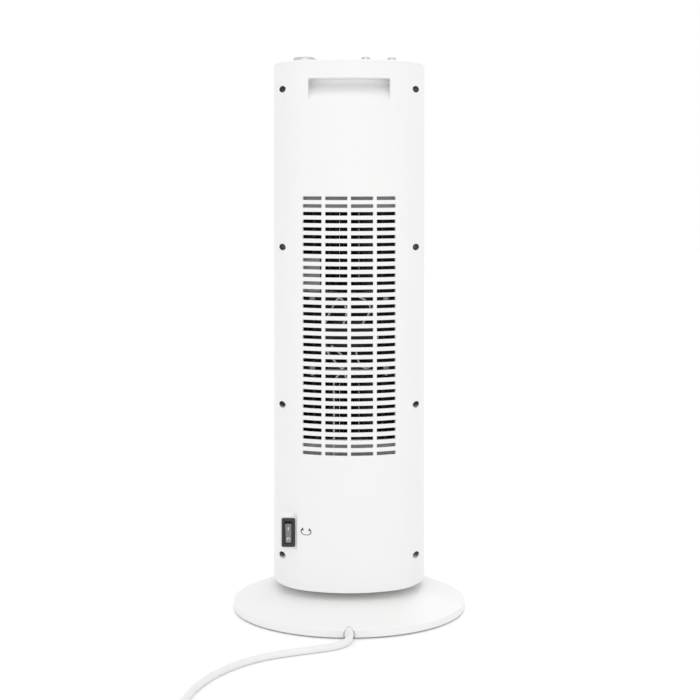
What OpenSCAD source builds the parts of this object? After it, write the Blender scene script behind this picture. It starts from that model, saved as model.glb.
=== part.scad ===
// Oscillating ceramic tower heater on a round base.
// Origin: centre of the base on the surface it stands on.  +Z is up, the warm
// air leaves towards -Y, and the intake grille, the switch and the cord are at +Y.

/* [Tower] */
// Width of the tower, side to side
tower_w = 163; // [140:1:190]
// Depth of the tower, front to rear
tower_d = 160; // [140:1:190]
// Height of the tower's lower edge above the floor
tower_z = 34.5; // [33:0.5:46]
// Height of the tower's flat top above the floor
tower_top = 588; // [540:1:680]
// Wall of the two housing shells
wall = 2.4; // [1.8:0.1:3.2]
// Radius of the flatter front and rear faces
face_r = 105; // [98:1:130]
// Radius of the flatter sides
side_r = 108; // [98:1:130]
// Radius of the tighter corners
corner_r = 60; // [52:1:64]
// How far the corners reach from the axis, as a share of the mean of width and depth
corner_reach = 0.523; // [0.515:0.001:0.54]
// Depth of the seam between the shells, in front of the axis
seam_y = 8; // [4:1:14]

/* [Intake grille] */
// Rows of slots
slot_rows = 34; // [24:1:34]
// Distance from one row to the next
slot_pitch = 8.03; // [7:0.01:8.1]
// Height of one slot
slot_h = 3.8; // [2.6:0.1:4.6]
// Height of the middle of the grille above the floor
grille_z = 311; // [305:1:317]
// Width of each inner slot
inner_slot_w = 23.3; // [18:0.1:24]
// Width of each outer slot
outer_slot_w = 20; // [16:0.1:20.5]
// Width of the upright bar between two slots
slot_bar = 3.6; // [2.8:0.1:4]

/* [Hand hold] */
// Width of the finger scoop
scoop_w = 86; // [76:1:92]
// Height of the finger scoop
scoop_h = 27.4; // [24:0.1:30]
// Depth of the finger scoop at its top
scoop_depth = 20; // [16:1:24]
// Distance from the tower's top down to the scoop's upper edge
scoop_drop = 19.2; // [16:0.1:24]

/* [Outlet grille] */
// Width of the outlet opening
outlet_w = 96; // [84:1:100]
// Number of louvres across the outlet
louvre_count = 30; // [20:1:34]
// Thickness of one louvre
louvre_t = 1.8; // [1.4:0.1:2.4]

/* [Base] */
// Diameter of the base
base_d = 250; // [222:1:310]
// Height of the base's upright rim above the floor
rim_top = 8.6; // [8:0.1:11]
// Gap between the rim and the floor
rim_gap = 1.2; // [0.8:0.1:1.6]
// Height of the base's flat middle above the floor
hub_top = 29; // [27:0.5:31]
// Radius of the base's flat middle
hub_r = 76; // [68:1:80]
// Number of rubber feet
foot_count = 6; // [5:1:8]
// Radius of one rubber foot
foot_r = 6; // [5:0.5:8]

/* [Swivel] */
// Radius of the hollow pivot post
post_r = 12; // [11:0.5:14]
// Teeth on the full circle of the fixed gear sector
sector_teeth = 70; // [65:5:75]
// Teeth on the pinion
pinion_teeth = 14; // [13:1:15]
// Gear module
gear_m = 1.25; // [1.1:0.05:1.35]
// Half of the swivel's travel, in degrees
swivel_half = 32; // [20:1:35]

/* [Controls] */
// Diameter of the thermostat knob
knob_d = 26; // [20:1:30]
// Height of the thermostat knob
knob_h = 6.8; // [6:0.2:14]
// Diameter of one push button
button_d = 10; // [8:0.5:12]
// Travel of one push button
button_travel = 2.5; // [1.5:0.1:3]
// Width of the rocker switch's frame
switch_w = 14; // [13:0.5:15]
// Height of the rocker switch's frame
switch_h = 30; // [28:0.5:32]
// Tilt of the rocker each way, in degrees
rocker_tilt = 10; // [6:1:12]

/* [Blower and heater] */
// Diameter of the two blower wheels
wheel_d = 64; // [56:1:68]
// Blades on each blower wheel
blade_count = 24; // [18:1:30]
// Height of the bay that holds the motor between the wheels
motor_bay = 84; // [80:1:96]
// Radius of the motor's shaft
shaft_r = 2.5; // [2:0.25:3]

/* [Cord] */
// Diameter of the mains cord
cord_d = 7; // [6:0.5:8]

/* [Fits] */
// Radial clearance of a turning or sliding fit
running = 0.06; // [0.02:0.01:0.1]
// Gap between neighbouring parts that move past each other
gap = 0.3; // [0.3:0.1:0.6]

/* [Hidden] */
$fn = 64;
eps = 0.01;
big = 400;

// Housing
face_off = face_r - tower_d / 2;
side_off = side_r - tower_w / 2;
corner_off = ((tower_w + tower_d) / 2 * corner_reach - corner_r) / sqrt(2);
cap_t = 3.4;
cap_inset = 0.8;
cap_z = tower_top - cap_t;
panel_z = cap_z - 2;
floor_t = 3;
floor_top = tower_z + floor_t;
shell_gap = 0.3;

// Housing screws: two columns of four, driven from the rear
screw_x = tower_w / 2 - 11;
screw_zs = [tower_z + 31.3, tower_z + 190.3, tower_z + 356.8, tower_top - 29.7];
recess_r = 3.6;
boss_r = 5.6;
screw_seat_y = 14;
screw_shank_r = 1.5;
screw_front_y = -34;

// Grille and duct
grille_half_h = (slot_rows - 1) * slot_pitch / 2;
duct_lo = grille_z - grille_half_h - slot_h / 2 - 2;
duct_hi = grille_z + grille_half_h + slot_h / 2 + 2;
duct_t = 2;
duct_x = outer_slot_w + inner_slot_w + 2 * slot_bar + 10;
lip_x = duct_x - 10.5;
lip_y = tower_d / 2 - 22;
lip_drop = 16;

// Scoop
scoop_hi = tower_top - scoop_drop;
scoop_lo = scoop_hi - scoop_h;

// Blower: two wheels on one upright shaft with the motor between them
wheel_r = wheel_d / 2;
blower_y = 14;
bay_lo = grille_z - 11 - motor_bay / 2;
bay_hi = bay_lo + motor_bay;
wheel_clear = 3;
blade_t = 0.9;
hub_plate_t = 1.6;
motor_mid = (bay_lo + bay_hi) / 2;
stack_h = 22;
stack_r = 24;

// Heater
frame_w = 74;
frame_d = 18;
frame_wall = 4;
heater_y = -54;
baffle_t = 1.6;
baffle_x = duct_x - 0.5;
fin_pitch = 6;
fin_t = 0.8;
bar_t = 4;

// Outlet
outlet_lo = duct_lo + 2;
outlet_hi = duct_hi - 2;
outlet_gap = 0.4;

// Base
cover_wall = 2.5;
cone_r = base_d / 2 - 1.2;
plate_r = base_d / 2 - 7;
plate_z = 1.6;
plate_t = 1.2;
foot_ring = base_d / 2 - 17;
foot_h = plate_z;
wear_ring_r = 56;
wear_ring_w = 5;
post_bore_r = post_r - 3.5;
post_foot = hub_top - cover_wall - 5;
hub_h = 9;
sector_z = floor_top + hub_h + 0.4;
sector_t = 5;
pinion_z = sector_z - 0.6;
pinion_t = 6.2;
post_top = sector_z + sector_t + 5;
centre_d = gear_m * (sector_teeth + pinion_teeth) / 2;
osc_motor_z = pinion_z + pinion_t + 2.5;
osc_motor_r = 20;
osc_shaft_r = 3;
backlash = 0.14;
tip_x = -64;
tip_r = 4;
tip_travel = 3;
base_screw_ring = base_d / 2 - 34;

// Cord exit
notch_w = 11.5;
notch_h = 11;
exit_z = 5.4;
boot_in = 16;
boot_out = 12;
boot_r = 4.4;
cord_z = cord_d / 2;
exit_y = base_d / 2 + boot_out;
lead_bend = 14;
lead_z = 6.6;

// Controls
knob_pos = [48, -8];
low_button_pos = [-18, 0];
high_button_pos = [-46.5, -10];
lamp_pos = [14, -40];
button_r = button_d / 2;
bezel_wall = 1;
bezel_h = 4.5;
button_rise = 7.5;
spindle_r = 3;
stat_w = 30;
stat_h = 18;
push_w = 13;
push_h = 12;
push_top = panel_z - button_travel - 0.3;

// Rocker switch on a flat pad near the tower's edge
switch_x = tower_w / 2 - 17.9;
switch_z = tower_z + 58.7;
pad_y = tower_d / 2 - 19.5;
pad_margin = 1.6;
flange_t = 2;
body_w = switch_w - 2.4;
body_h = switch_h - 3.6;
body_depth = 19;
well_w = 8.4;
well_h = 25.2;
rocker_w = 7.6;
rocker_half = 11;
pivot_y = pad_y - 2.6;

// Cord route on the floor, leaving the notch and curving out behind the heater
cord_route = [[0, 12, 5.4], [0, 16, 5], [2, 21, 4.4], [6, 28, 3.8], [13, 35, 3.5], [23, 41, 3.5],
    [36, 47, 3.5], [52, 54, 3.5], [70, 63, 3.5], [88, 75, 3.5], [104, 91, 3.5], [118, 111, 3.5],
    [130, 134, 3.5], [139, 160, 3.5], [145, 188, 3.5], [148, 216, 3.5], [149, 244, 3.5],
    [150, 272, 3.5], [150, 300, 3.5]];
tail_route = [[101, 349, 10.5], [93, 349.2, 10.6], [85, 350, 11.4], [76, 351.4, 13], [66, 352, 14]];
coil_c = [101, 300];
coil_in = 27;
coil_out = 52.5;
coil_h = 2 * cord_d;
plug_z = 14;
plug_front = [66, 352];

// ---------- helpers ----------

// Outline of the tower, drawn in by t all round: flatter arcs with tighter corner arcs
module section(t = 0) {
    intersection() {
        face_disc(t, 1);
        face_disc(t, -1);
        side_disc(t, 1);
        side_disc(t, -1);
        corner_clip(t, 1, 1);
        corner_clip(t, -1, 1);
        corner_clip(t, 1, -1);
        corner_clip(t, -1, -1);
    }
}

module face_disc(t, s) {
    translate([0, -s * face_off]) circle(face_r - t);
}

module side_disc(t, s) {
    translate([-s * side_off, 0]) circle(side_r - t);
}

// A corner's arc counts only past a quarter of the width and of the depth
module corner_clip(t, sx, sy) {
    mirror([sx < 0 ? 1 : 0, 0]) mirror([0, sy < 0 ? 1 : 0]) union() {
        translate([corner_off, corner_off]) circle(corner_r - t);
        translate([-big, -big]) square([big + tower_w / 4, 2 * big]);
        translate([-big, -big]) square([2 * big, big + tower_d / 4]);
    }
}

module prism(t, z0, z1) {
    translate([0, 0, z0]) linear_extrude(z1 - z0) section(t);
}

module block(x0, x1, y0, y1, z0, z1) {
    translate([x0, y0, z0]) cube([x1 - x0, y1 - y0, z1 - z0]);
}

// Round bar along Y from y0 to y1
module y_bar(x, z, r, y0, y1) {
    translate([x, y1, z]) rotate([90, 0, 0]) cylinder(r = r, h = y1 - y0);
}

module z_bar(x, y, r, z0, z1) {
    translate([x, y, z0]) cylinder(r = r, h = z1 - z0);
}

module ring(r_in, r_out, z0, z1) {
    difference() {
        z_bar(0, 0, r_out, z0, z1);
        z_bar(0, 0, r_in, z0 - 1, z1 + 1);
    }
}

// Row of items round a circle
module around(n, r, turn = 0) {
    for (i = [0 : n - 1]) {
        rotate(turn + i * 360 / n) translate([r, 0, 0]) children();
    }
}

// ---------- housing ----------

module slot_cuts() {
    x1 = slot_bar / 2 + inner_slot_w;
    x2 = x1 + slot_bar;
    for (i = [0 : slot_rows - 1]) {
        z = grille_z - grille_half_h + i * slot_pitch - slot_h / 2;
        block(slot_bar / 2, x1, 30, big, z, z + slot_h);
        block(x2, x2 + outer_slot_w, 30, big, z, z + slot_h);
        block(-x1, -slot_bar / 2, 30, big, z, z + slot_h);
        block(-x2 - outer_slot_w, -x2, 30, big, z, z + slot_h);
    }
}

// Side profile of the scoop: deep under its upper edge, running out flush at the bottom
module scoop_solid(grow) {
    y_out = tower_d / 2 + 4;
    y_in = tower_d / 2 - scoop_depth;
    z_turn = scoop_hi - scoop_h * 0.3;
    translate([-scoop_w / 2 - grow, 0, 0]) rotate([90, 0, 90]) linear_extrude(scoop_w + 2 * grow)
        polygon([[y_out, scoop_hi + grow], [y_in - grow, scoop_hi + grow], [y_in - grow, z_turn],
            [tower_d / 2 - scoop_depth * 0.45, scoop_lo + scoop_h * 0.3 - grow],
            [tower_d / 2, scoop_lo - grow], [y_out, scoop_lo - grow]]);
}

module screw_bosses(y0, y1) {
    for (s = [-1, 1], z = screw_zs) {
        y_bar(s * screw_x, z, boss_r, y0, y1);
    }
}

module screw_holes(r, y0, y1) {
    for (s = [-1, 1], z = screw_zs) {
        y_bar(s * screw_x, z, r, y0, y1);
    }
}

// Block of the switch pad's outline, between two depths
module switch_pad(y0, y1) {
    hw = switch_w / 2 + pad_margin;
    hh = switch_h / 2 + pad_margin;
    block(switch_x - hw, switch_x + hw, y0, y1, switch_z - hh, switch_z + hh);
}

module rear_housing() {
    color("whitesmoke") difference() {
        union() {
            difference() {
                prism(0, tower_z, cap_z);
                prism(wall, tower_z - 1, cap_z + 1);
            }
            intersection() {
                union() {
                    screw_bosses(-seam_y, tower_d / 2);
                    scoop_solid(wall);
                }
                prism(eps, tower_z + 5, cap_z - 5);
            }
            switch_pad(pad_y - 24, pad_y);
        }
        block(-big, big, -big, -seam_y + shell_gap / 2, 0, big * 2);
        scoop_solid(0);
        slot_cuts();
        switch_pad(pad_y, tower_d);
        screw_holes(recess_r, screw_seat_y, tower_d);
        screw_holes(screw_shank_r + 0.3, -tower_d, screw_seat_y + 1);
        block(switch_x - body_w / 2 - 0.1, switch_x + body_w / 2 + 0.1, 0, tower_d,
            switch_z - body_h / 2 - 0.1, switch_z + body_h / 2 + 0.1);
    }
}

module front_housing() {
    color("whitesmoke") difference() {
        union() {
            difference() {
                prism(0, tower_z, cap_z);
                prism(wall, tower_z - 1, cap_z + 1);
            }
            intersection() {
                screw_bosses(-tower_d / 2, -seam_y);
                prism(eps, tower_z + 5, cap_z - 5);
            }
        }
        block(-big, big, -seam_y - shell_gap / 2, big, 0, big * 2);
        block(-outlet_w / 2, outlet_w / 2, -big, 0, outlet_lo, outlet_hi);
        screw_holes(screw_shank_r + 0.1, screw_front_y - 2, 0);
    }
}

module top_panel() {
    color("whitesmoke") difference() {
        union() {
            prism(cap_inset, cap_z, tower_top);
            difference() {
                prism(wall + 0.1, cap_z - 6, cap_z + eps);
                prism(wall + 2, cap_z - 7, cap_z + 1);
            }
        }
        z_bar(knob_pos[0], knob_pos[1], spindle_r + 1, cap_z - 9, tower_top + 1);
        z_bar(lamp_pos[0], lamp_pos[1], 3, cap_z - 9, tower_top + 1);
        for (p = [low_button_pos, high_button_pos]) {
            z_bar(p[0], p[1], button_r + bezel_wall, cap_z - 9, tower_top + 1);
        }
    }
}

module tower_floor() {
    color("whitesmoke") difference() {
        union() {
            prism(wall + 0.1, tower_z, floor_top);
            z_bar(0, 0, post_r + 5, tower_z, floor_top + hub_h);
            for (s = [-1, 1]) {
                z_bar(s * (osc_motor_r + 5), -centre_d, 3.4, tower_z, osc_motor_z);
            }
        }
        z_bar(0, 0, post_r + running, 0, tower_z + 40);
    }
}

module housing_screws() {
    color("dimgray") for (s = [-1, 1], z = screw_zs) {
        difference() {
            union() {
                y_bar(s * screw_x, z, 3.1, screw_seat_y, screw_seat_y + 2.4);
                y_bar(s * screw_x, z, screw_shank_r, screw_front_y, screw_seat_y + eps);
            }
            block(s * screw_x - 2, s * screw_x + 2, screw_seat_y + 1.2, tower_d, z - 0.4, z + 0.4);
            block(s * screw_x - 0.4, s * screw_x + 0.4, screw_seat_y + 1.2, tower_d, z - 2, z + 2);
        }
    }
}

module outlet_grille() {
    hw = outlet_w / 2 - outlet_gap;
    lo = outlet_lo + outlet_gap;
    hi = outlet_hi - outlet_gap;
    pitch = (hi - lo - 6) / louvre_count;
    color("dimgray") difference() {
        intersection() {
            difference() {
                prism(0.6, lo, hi);
                prism(6, lo - 1, hi + 1);
            }
            block(-hw, hw, -big, 0, lo, hi);
        }
        difference() {
            block(-hw + 3, hw - 3, -big, 0, lo + 3, hi - 3);
            block(-1.2, 1.2, -big, 0, lo, hi);
            for (i = [1 : louvre_count - 1]) {
                z = lo + 3 + i * pitch;
                block(-hw, hw, -big, 0, z - louvre_t / 2, z + louvre_t / 2);
            }
        }
    }
}

// ---------- air path, blower and heater ----------

module duct_plate(z) {
    intersection() {
        prism(wall + 0.2, z, z + duct_t);
        block(-duct_x, duct_x, -40, tower_d / 2, z, z + duct_t);
    }
}

module duct_top_plate() {
    color("lightgray") union() {
        duct_plate(duct_hi);
        block(-lip_x, lip_x, lip_y, lip_y + 1.5, duct_hi - lip_drop, duct_hi + eps);
    }
}

module duct_bottom_plate() {
    color("lightgray") union() {
        duct_plate(duct_lo - duct_t);
        block(-lip_x, lip_x, lip_y, lip_y + 1.5, duct_lo - eps, duct_lo + lip_drop);
    }
}

// Scroll: an arc round the wheels that runs out straight to the outlet
module blower_scroll() {
    r = wheel_r + wheel_clear + 3;
    color("dimgray") translate([0, blower_y, duct_lo + eps]) linear_extrude(duct_hi - duct_lo - 2 * eps)
        union() {
            intersection() {
                difference() {
                    circle(r + 2);
                    circle(r);
                }
                translate([0, -8]) square([r + 4, 18]);
            }
            translate([r - 0.5, -46]) square([2, 40]);
        }
}

module blower_cutoff() {
    r = wheel_r + wheel_clear;
    color("dimgray") translate([0, blower_y, duct_lo + eps]) linear_extrude(duct_hi - duct_lo - 2 * eps)
        union() {
            translate([-r - 3, -46]) square([2, 40]);
            translate([-r - 3, -8]) square([2.5, 2]);
        }
}

module wheel(z0, z1) {
    translate([0, blower_y, 0]) difference() {
        union() {
            z_bar(0, 0, wheel_r, z0, z0 + hub_plate_t);
            z_bar(0, 0, wheel_r, z1 - hub_plate_t, z1);
            z_bar(0, 0, shaft_r + 3, z0, z1);
            around(blade_count, wheel_r - 4) {
                rotate(35) block(-3.6, 3.6, -blade_t / 2, blade_t / 2, z0, z1);
            }
        }
        z_bar(0, 0, shaft_r, z0 - 1, z1 + 1);
    }
}

module upper_blower_wheel() {
    color("black") wheel(bay_hi + 4, duct_hi - 5);
}

module lower_blower_wheel() {
    color("black") wheel(duct_lo + 5, bay_lo - 4);
}

module motor_shaft() {
    color("silver") union() {
        z_bar(0, blower_y, shaft_r, duct_lo + 3, duct_hi - 3);
        z_bar(0, blower_y, 13, motor_mid - stack_h / 2, motor_mid + stack_h / 2);
    }
}

module motor_stator() {
    lo = motor_mid - stack_h / 2;
    hi = motor_mid + stack_h / 2;
    color("gray") difference() {
        union() {
            z_bar(0, blower_y, stack_r, lo, hi);
            block(-stack_r, stack_r, blower_y, blower_y + 36, lo, hi);
        }
        z_bar(0, blower_y, 13 + gap, lo - 1, hi + 1);
        block(-stack_r + 8, stack_r - 8, blower_y + 17, blower_y + 28, lo - 1, hi + 1);
    }
}

// Coil of winding tape round the yoke at the rear of the stator
module motor_coil() {
    y0 = blower_y + 28;
    color("white") difference() {
        block(-15.5, 15.5, y0 - 8, y0 + 15, motor_mid - 18, motor_mid + 18);
        block(-16, 16, y0 - 0.1, y0 + 8.1, motor_mid - stack_h / 2 - 0.1, motor_mid + stack_h / 2 + 0.1);
    }
}

module bracket(z) {
    difference() {
        block(-35, 35, blower_y - 12, blower_y + 12, z, z + 2);
        z_bar(0, blower_y, shaft_r + running, z - 1, z + 3);
    }
    for (s = [-1, 1]) {
        block(s > 0 ? 28 : -44, s > 0 ? 44 : -28, blower_y + 12 - eps, blower_y + 40, z, z + 2);
    }
}

module motor_brackets() {
    color("silver") union() {
        bracket(bay_lo);
        bracket(bay_hi - 2);
    }
}

module motor_screws() {
    color("white") for (s = [-1, 1], z = [bay_lo + 2, bay_hi - 8]) {
        z_bar(s * 39, blower_y + 34, 3.2, z, z + 6);
    }
}

// Frame with two windows, baffles out to the sides and one over the motor bay
module heater_frame() {
    y0 = heater_y - frame_d / 2;
    y1 = y0 + frame_d;
    hw = frame_w / 2 - 4;
    color("dimgray") union() {
        difference() {
            block(-hw, hw, y0, y1, duct_lo + 1, duct_hi - 1);
            block(-hw + frame_wall, hw - frame_wall, y0 - 1, y1 + 1, duct_lo + 1 + frame_wall,
                grille_z - frame_wall / 2);
            block(-hw + frame_wall, hw - frame_wall, y0 - 1, y1 + 1, grille_z + frame_wall / 2,
                duct_hi - 1 - frame_wall);
        }
        for (x = [-baffle_x, hw - eps]) {
            block(x, x + baffle_x - hw + eps, y1 - baffle_t, y1, duct_lo + 1, duct_hi - 1);
        }
        block(-hw + 1, hw - 1, y1 - baffle_t, y1, bay_lo - 6, bay_hi + 6);
    }
}

// Ceramic bars upright between stacks of aluminium fins
module heating_element(z0, z1) {
    hw = frame_w / 2 - 4 - frame_wall;
    y0 = heater_y - frame_d / 2 + 2;
    y1 = heater_y + frame_d / 2 - 2;
    n = floor((z1 - z0 - fin_t) / fin_pitch);
    for (x = [-hw / 2 - bar_t / 2, hw / 2 - bar_t / 2]) {
        block(x, x + bar_t, y0, y1, z0, z1);
    }
    for (i = [0 : n]) {
        block(-hw, hw, y0 + 1, y1 - 1, z0 + i * fin_pitch, z0 + i * fin_pitch + fin_t);
    }
}

module upper_heating_element() {
    color("silver") heating_element(grille_z + frame_wall / 2, duct_hi - 1 - frame_wall);
}

module lower_heating_element() {
    color("silver") heating_element(duct_lo + 1 + frame_wall, grille_z - frame_wall / 2);
}

module heater_terminals() {
    color("gold") for (x = [-18, 0, 18]) {
        block(x - 3, x + 3, heater_y - 0.4, heater_y + 0.4, duct_lo - 9, duct_lo + 1);
    }
}

module thermal_cutout() {
    color("ivory") union() {
        z_bar(18, heater_y + 24, 7.5, duct_hi + duct_t, duct_hi + duct_t + 8);
        block(8, 28, heater_y + 23.6, heater_y + 24.4, duct_hi + duct_t, duct_hi + duct_t + 14);
    }
}

// ---------- controls ----------

module thermostat_knob() {
    color("silver") translate([knob_pos[0], knob_pos[1], 0]) difference() {
        union() {
            z_bar(0, 0, knob_d / 2, tower_top + 0.8, tower_top + knob_h);
            z_bar(0, 0, knob_d / 2 - 0.8, tower_top + knob_h - eps, tower_top + knob_h + 0.6);
        }
        z_bar(0, 0, spindle_r, tower_top, tower_top + knob_h - 2);
        block(-0.6, 0.6, -knob_d / 2, -knob_d / 4, tower_top + knob_h, tower_top + knob_h + 2);
    }
}

module thermostat_spindle() {
    color("dimgray") translate([knob_pos[0], knob_pos[1], 0])
        z_bar(0, 0, spindle_r, panel_z - 14, tower_top + knob_h - 2);
}

module thermostat_body() {
    color("ivory") translate([knob_pos[0], knob_pos[1], 0]) difference() {
        union() {
            block(-stat_w / 2, stat_w / 2, -stat_w / 2, stat_w / 2, panel_z - 8 - stat_h, panel_z - 8);
            z_bar(0, 0, spindle_r + 0.9, panel_z - 8 - eps, tower_top - 1);
        }
        z_bar(0, 0, spindle_r + running, panel_z - 16, tower_top + 1);
    }
}

module push_button(p) {
    translate([p[0], p[1], 0]) union() {
        z_bar(0, 0, button_r, tower_top - 5, tower_top + button_rise - 1);
        z_bar(0, 0, button_r - 1, tower_top + button_rise - 1 - eps, tower_top + button_rise);
        z_bar(0, 0, 2, panel_z - 4, tower_top - 5 + eps);
    }
}

module low_heat_button() {
    color("silver") push_button(low_button_pos);
}

module high_heat_button() {
    color("silver") push_button(high_button_pos);
}

module push_switches() {
    color("black") for (p = [low_button_pos, high_button_pos]) {
        translate([p[0], p[1], 0]) difference() {
            block(-push_w / 2, push_w / 2, -push_w / 2, push_w / 2, panel_z - 6 - push_h, push_top);
            z_bar(0, 0, 2 + running, panel_z - 4 - button_travel - 1, panel_z);
        }
    }
}

module button_bezels() {
    color("silver") for (p = [low_button_pos, high_button_pos]) {
        translate([p[0], p[1], 0])
            ring(button_r + running, button_r + bezel_wall, cap_z - 4, tower_top + bezel_h);
    }
}

module pilot_lamp() {
    color("orange") translate([lamp_pos[0], lamp_pos[1], 0]) union() {
        z_bar(0, 0, 3, cap_z - 10, tower_top + 0.4);
        z_bar(0, 0, 2.2, tower_top + 0.4 - eps, tower_top + 1.2);
    }
}

module rocker_switch_body() {
    y0 = pad_y - body_depth;
    color("black") translate([switch_x, 0, switch_z]) difference() {
        union() {
            block(-switch_w / 2, switch_w / 2, pad_y, pad_y + flange_t, -switch_h / 2, switch_h / 2);
            block(-body_w / 2, body_w / 2, y0, pad_y + eps, -body_h / 2, body_h / 2);
            for (z = [-8, 0, 8]) {
                block(-2.4, 2.4, y0 - 9, y0 + eps, z - 0.4, z + 0.4);
            }
        }
        block(-well_w / 2, well_w / 2, pivot_y - 6, tower_d, -well_h / 2, well_h / 2);
    }
}

// Rocker with a shallow valley across its face, lying on its lower half
module oscillation_rocker() {
    color("gray") translate([switch_x - rocker_w / 2, pivot_y, switch_z]) rotate([-rocker_tilt, 0, 0])
        rotate([90, 0, 90]) linear_extrude(rocker_w)
            polygon([[-2, -rocker_half * 0.7], [2.4, -rocker_half], [5.6, -rocker_half], [4.2, 0],
                [5.6, rocker_half], [2.4, rocker_half], [-2, rocker_half * 0.7]]);
}

// Printed sign for side-to-side turning: an open oval arc with two arrow heads
function oval(a, r) = [r * cos(a), 0.62 * r * sin(a)];

module oscillation_mark() {
    mark_x = switch_x - 18.6;
    mark_z = switch_z + 2.6;
    color("dimgray") intersection() {
        difference() {
            prism(-0.15, mark_z - 7, mark_z + 7);
            prism(0, mark_z - 8, mark_z + 8);
        }
        translate([mark_x, tower_d, mark_z]) rotate([90, 0, 0]) linear_extrude(tower_d) {
            polygon(concat([for (a = [145 : 10 : 395]) oval(a, 5.7)], [for (a = [395 : -10 : 145]) oval(a, 4.7)]));
            polygon([[-5.6, 1.5], [-2.6, 1.3], [-3.2, 4.2]]);
            polygon([[5.6, 1.5], [2.6, 1.3], [3.2, 4.2]]);
        }
    }
}

module terminal_block() {
    color("ivory") difference() {
        block(28, 48, 18, 42, floor_top, floor_top + 12);
        for (y = [24, 30, 36]) {
            z_bar(34, y, 1.8, floor_top + 7, floor_top + 13);
            z_bar(42, y, 1.8, floor_top + 7, floor_top + 13);
        }
    }
}

// Leads from the terminal block up past the lower wheel to the motor and the controls
module wire_harness() {
    color("white") union() {
        z_bar(duct_x + 1.8, 20, 1.2, floor_top, duct_hi + 40);
        z_bar(duct_x + 1.8, 24, 1.2, floor_top, duct_hi + 60);
        z_bar(16, 64, 1, duct_lo, bay_lo - 6);
        sphere_joint(16, 64, bay_lo - 6, 1);
        translate([16, 64, bay_lo - 6]) rotate([0, -35, 0]) cylinder(r = 1, h = 26);
        translate([1, 64, bay_lo + 15.3]) rotate([0, 48, 0]) cylinder(r = 1, h = 24);
    }
}

module sphere_joint(x, y, z, r) {
    translate([x, y, z]) sphere(r = r);
}

// ---------- swivel and oscillation drive ----------

// Involute of a circle of radius rb, unwound by t degrees
function involute(rb, t) = rb * [cos(t) + t * PI / 180 * sin(t), sin(t) - t * PI / 180 * cos(t)];
function unwind(rb, r) = sqrt(r * r / (rb * rb) - 1) * 180 / PI;
function turned(p, a) = [p[0] * cos(a) - p[1] * sin(a), p[0] * sin(a) + p[1] * cos(a)];

// Outline of one tooth centred on the angle at, from root to tip and back, thinned for backlash
function tooth(teeth, at) =
    let (rp = gear_m * teeth / 2,
        rb = rp * cos(25),
        r_root = rp - 1.15 * gear_m,
        r_tip = rp + 0.8 * gear_m,
        a = acos(rb / rp),
        half = 90 / teeth + tan(a) * 180 / PI - a - backlash / rp * 180 / PI,
        r_low = max(rb, r_root),
        root = r_root < rb ? [turned([r_root, 0], -half)] : [],
        flank = concat(root, [for (i = [0 : 3])
            turned(involute(rb, unwind(rb, r_low + (r_tip - r_low) * i / 3)), -half)]),
        last = len(flank) - 1)
    [for (q = concat(flank, [for (i = [last : -1 : 0]) [flank[i][0], -flank[i][1]]])) turned(q, at)];

module gear_sector() {
    n = floor((swivel_half + 16) * sector_teeth / 360);
    color("ivory") translate([0, 0, sector_z]) rotate(-90) difference() {
        linear_extrude(sector_t) union() {
            circle(post_r + 6);
            polygon([[0, 0], for (i = [-n : n - 1]) each tooth(sector_teeth, (i + 0.5) * 360 / sector_teeth)]);
        }
        translate([0, 0, -1]) cylinder(r = post_r, h = sector_t + 2);
    }
}

module oscillation_pinion() {
    color("white") translate([0, -centre_d, pinion_z]) difference() {
        linear_extrude(pinion_t)
            polygon([for (i = [0 : pinion_teeth - 1]) each tooth(pinion_teeth, 90 + i * 360 / pinion_teeth)]);
        translate([0, 0, pinion_t - 4]) cylinder(r = osc_shaft_r + running, h = 8);
    }
}

module oscillation_motor() {
    color("silver") translate([0, -centre_d, 0]) union() {
        z_bar(0, 0, osc_motor_r, osc_motor_z, osc_motor_z + 18);
        z_bar(0, 0, osc_shaft_r, pinion_z + 3, osc_motor_z + eps);
        block(-osc_motor_r - 9, osc_motor_r + 9, -4, 4, osc_motor_z, osc_motor_z + 1.2);
    }
}

module pivot_post() {
    color("silver") difference() {
        union() {
            z_bar(0, 0, post_r, post_foot, post_top);
            z_bar(0, 0, post_r + 12, post_foot, hub_top - cover_wall);
        }
        z_bar(0, 0, post_bore_r, 0, post_top + 1);
        difference() {
            z_bar(0, 0, post_r + 1, sector_z + sector_t + 1, sector_z + sector_t + 2.4);
            z_bar(0, 0, post_r - 1, sector_z, post_top);
        }
    }
}

// Open ring that snaps into the groove above the sector
module pivot_retaining_ring() {
    color("gray") difference() {
        ring(post_r - 1, post_r + 3, sector_z + sector_t + 1.1, sector_z + sector_t + 2.3);
        block(-4, 4, 0, post_r + 5, sector_z, post_top);
    }
}

module swivel_wear_ring() {
    color("ivory") ring(wear_ring_r - wear_ring_w, wear_ring_r, hub_top, tower_z - gap);
}

// ---------- base ----------

module base_profile(t) {
    polygon([[0, rim_gap - 1], [base_d / 2 - t, rim_gap - 1], [base_d / 2 - t, rim_top - 1.2],
        [cone_r - t * 0.9, rim_top - t], [hub_r - t * 0.2, hub_top - t], [0, hub_top - t]]);
}

module notch(grow) {
    r = notch_w / 2 + grow;
    y_bar(0, notch_h - notch_w / 2, r, plate_r - 12, base_d);
    block(-r, r, plate_r - 12, base_d, -1, notch_h - notch_w / 2);
}

module base_cover() {
    color("whitesmoke") difference() {
        rotate_extrude() base_profile(0);
        rotate_extrude() base_profile(cover_wall);
        translate([0, 0, rim_gap - 10]) cylinder(r = base_d, h = 10);
        z_bar(0, 0, post_r, 0, hub_top + 1);
        notch(0);
    }
    color("whitesmoke") around(4, base_screw_ring, 45) difference() {
        z_bar(0, 0, 4, plate_z + plate_t, base_post_top());
        z_bar(0, 0, 1.5, 0, base_post_top() - 2);
    }
}

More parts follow.
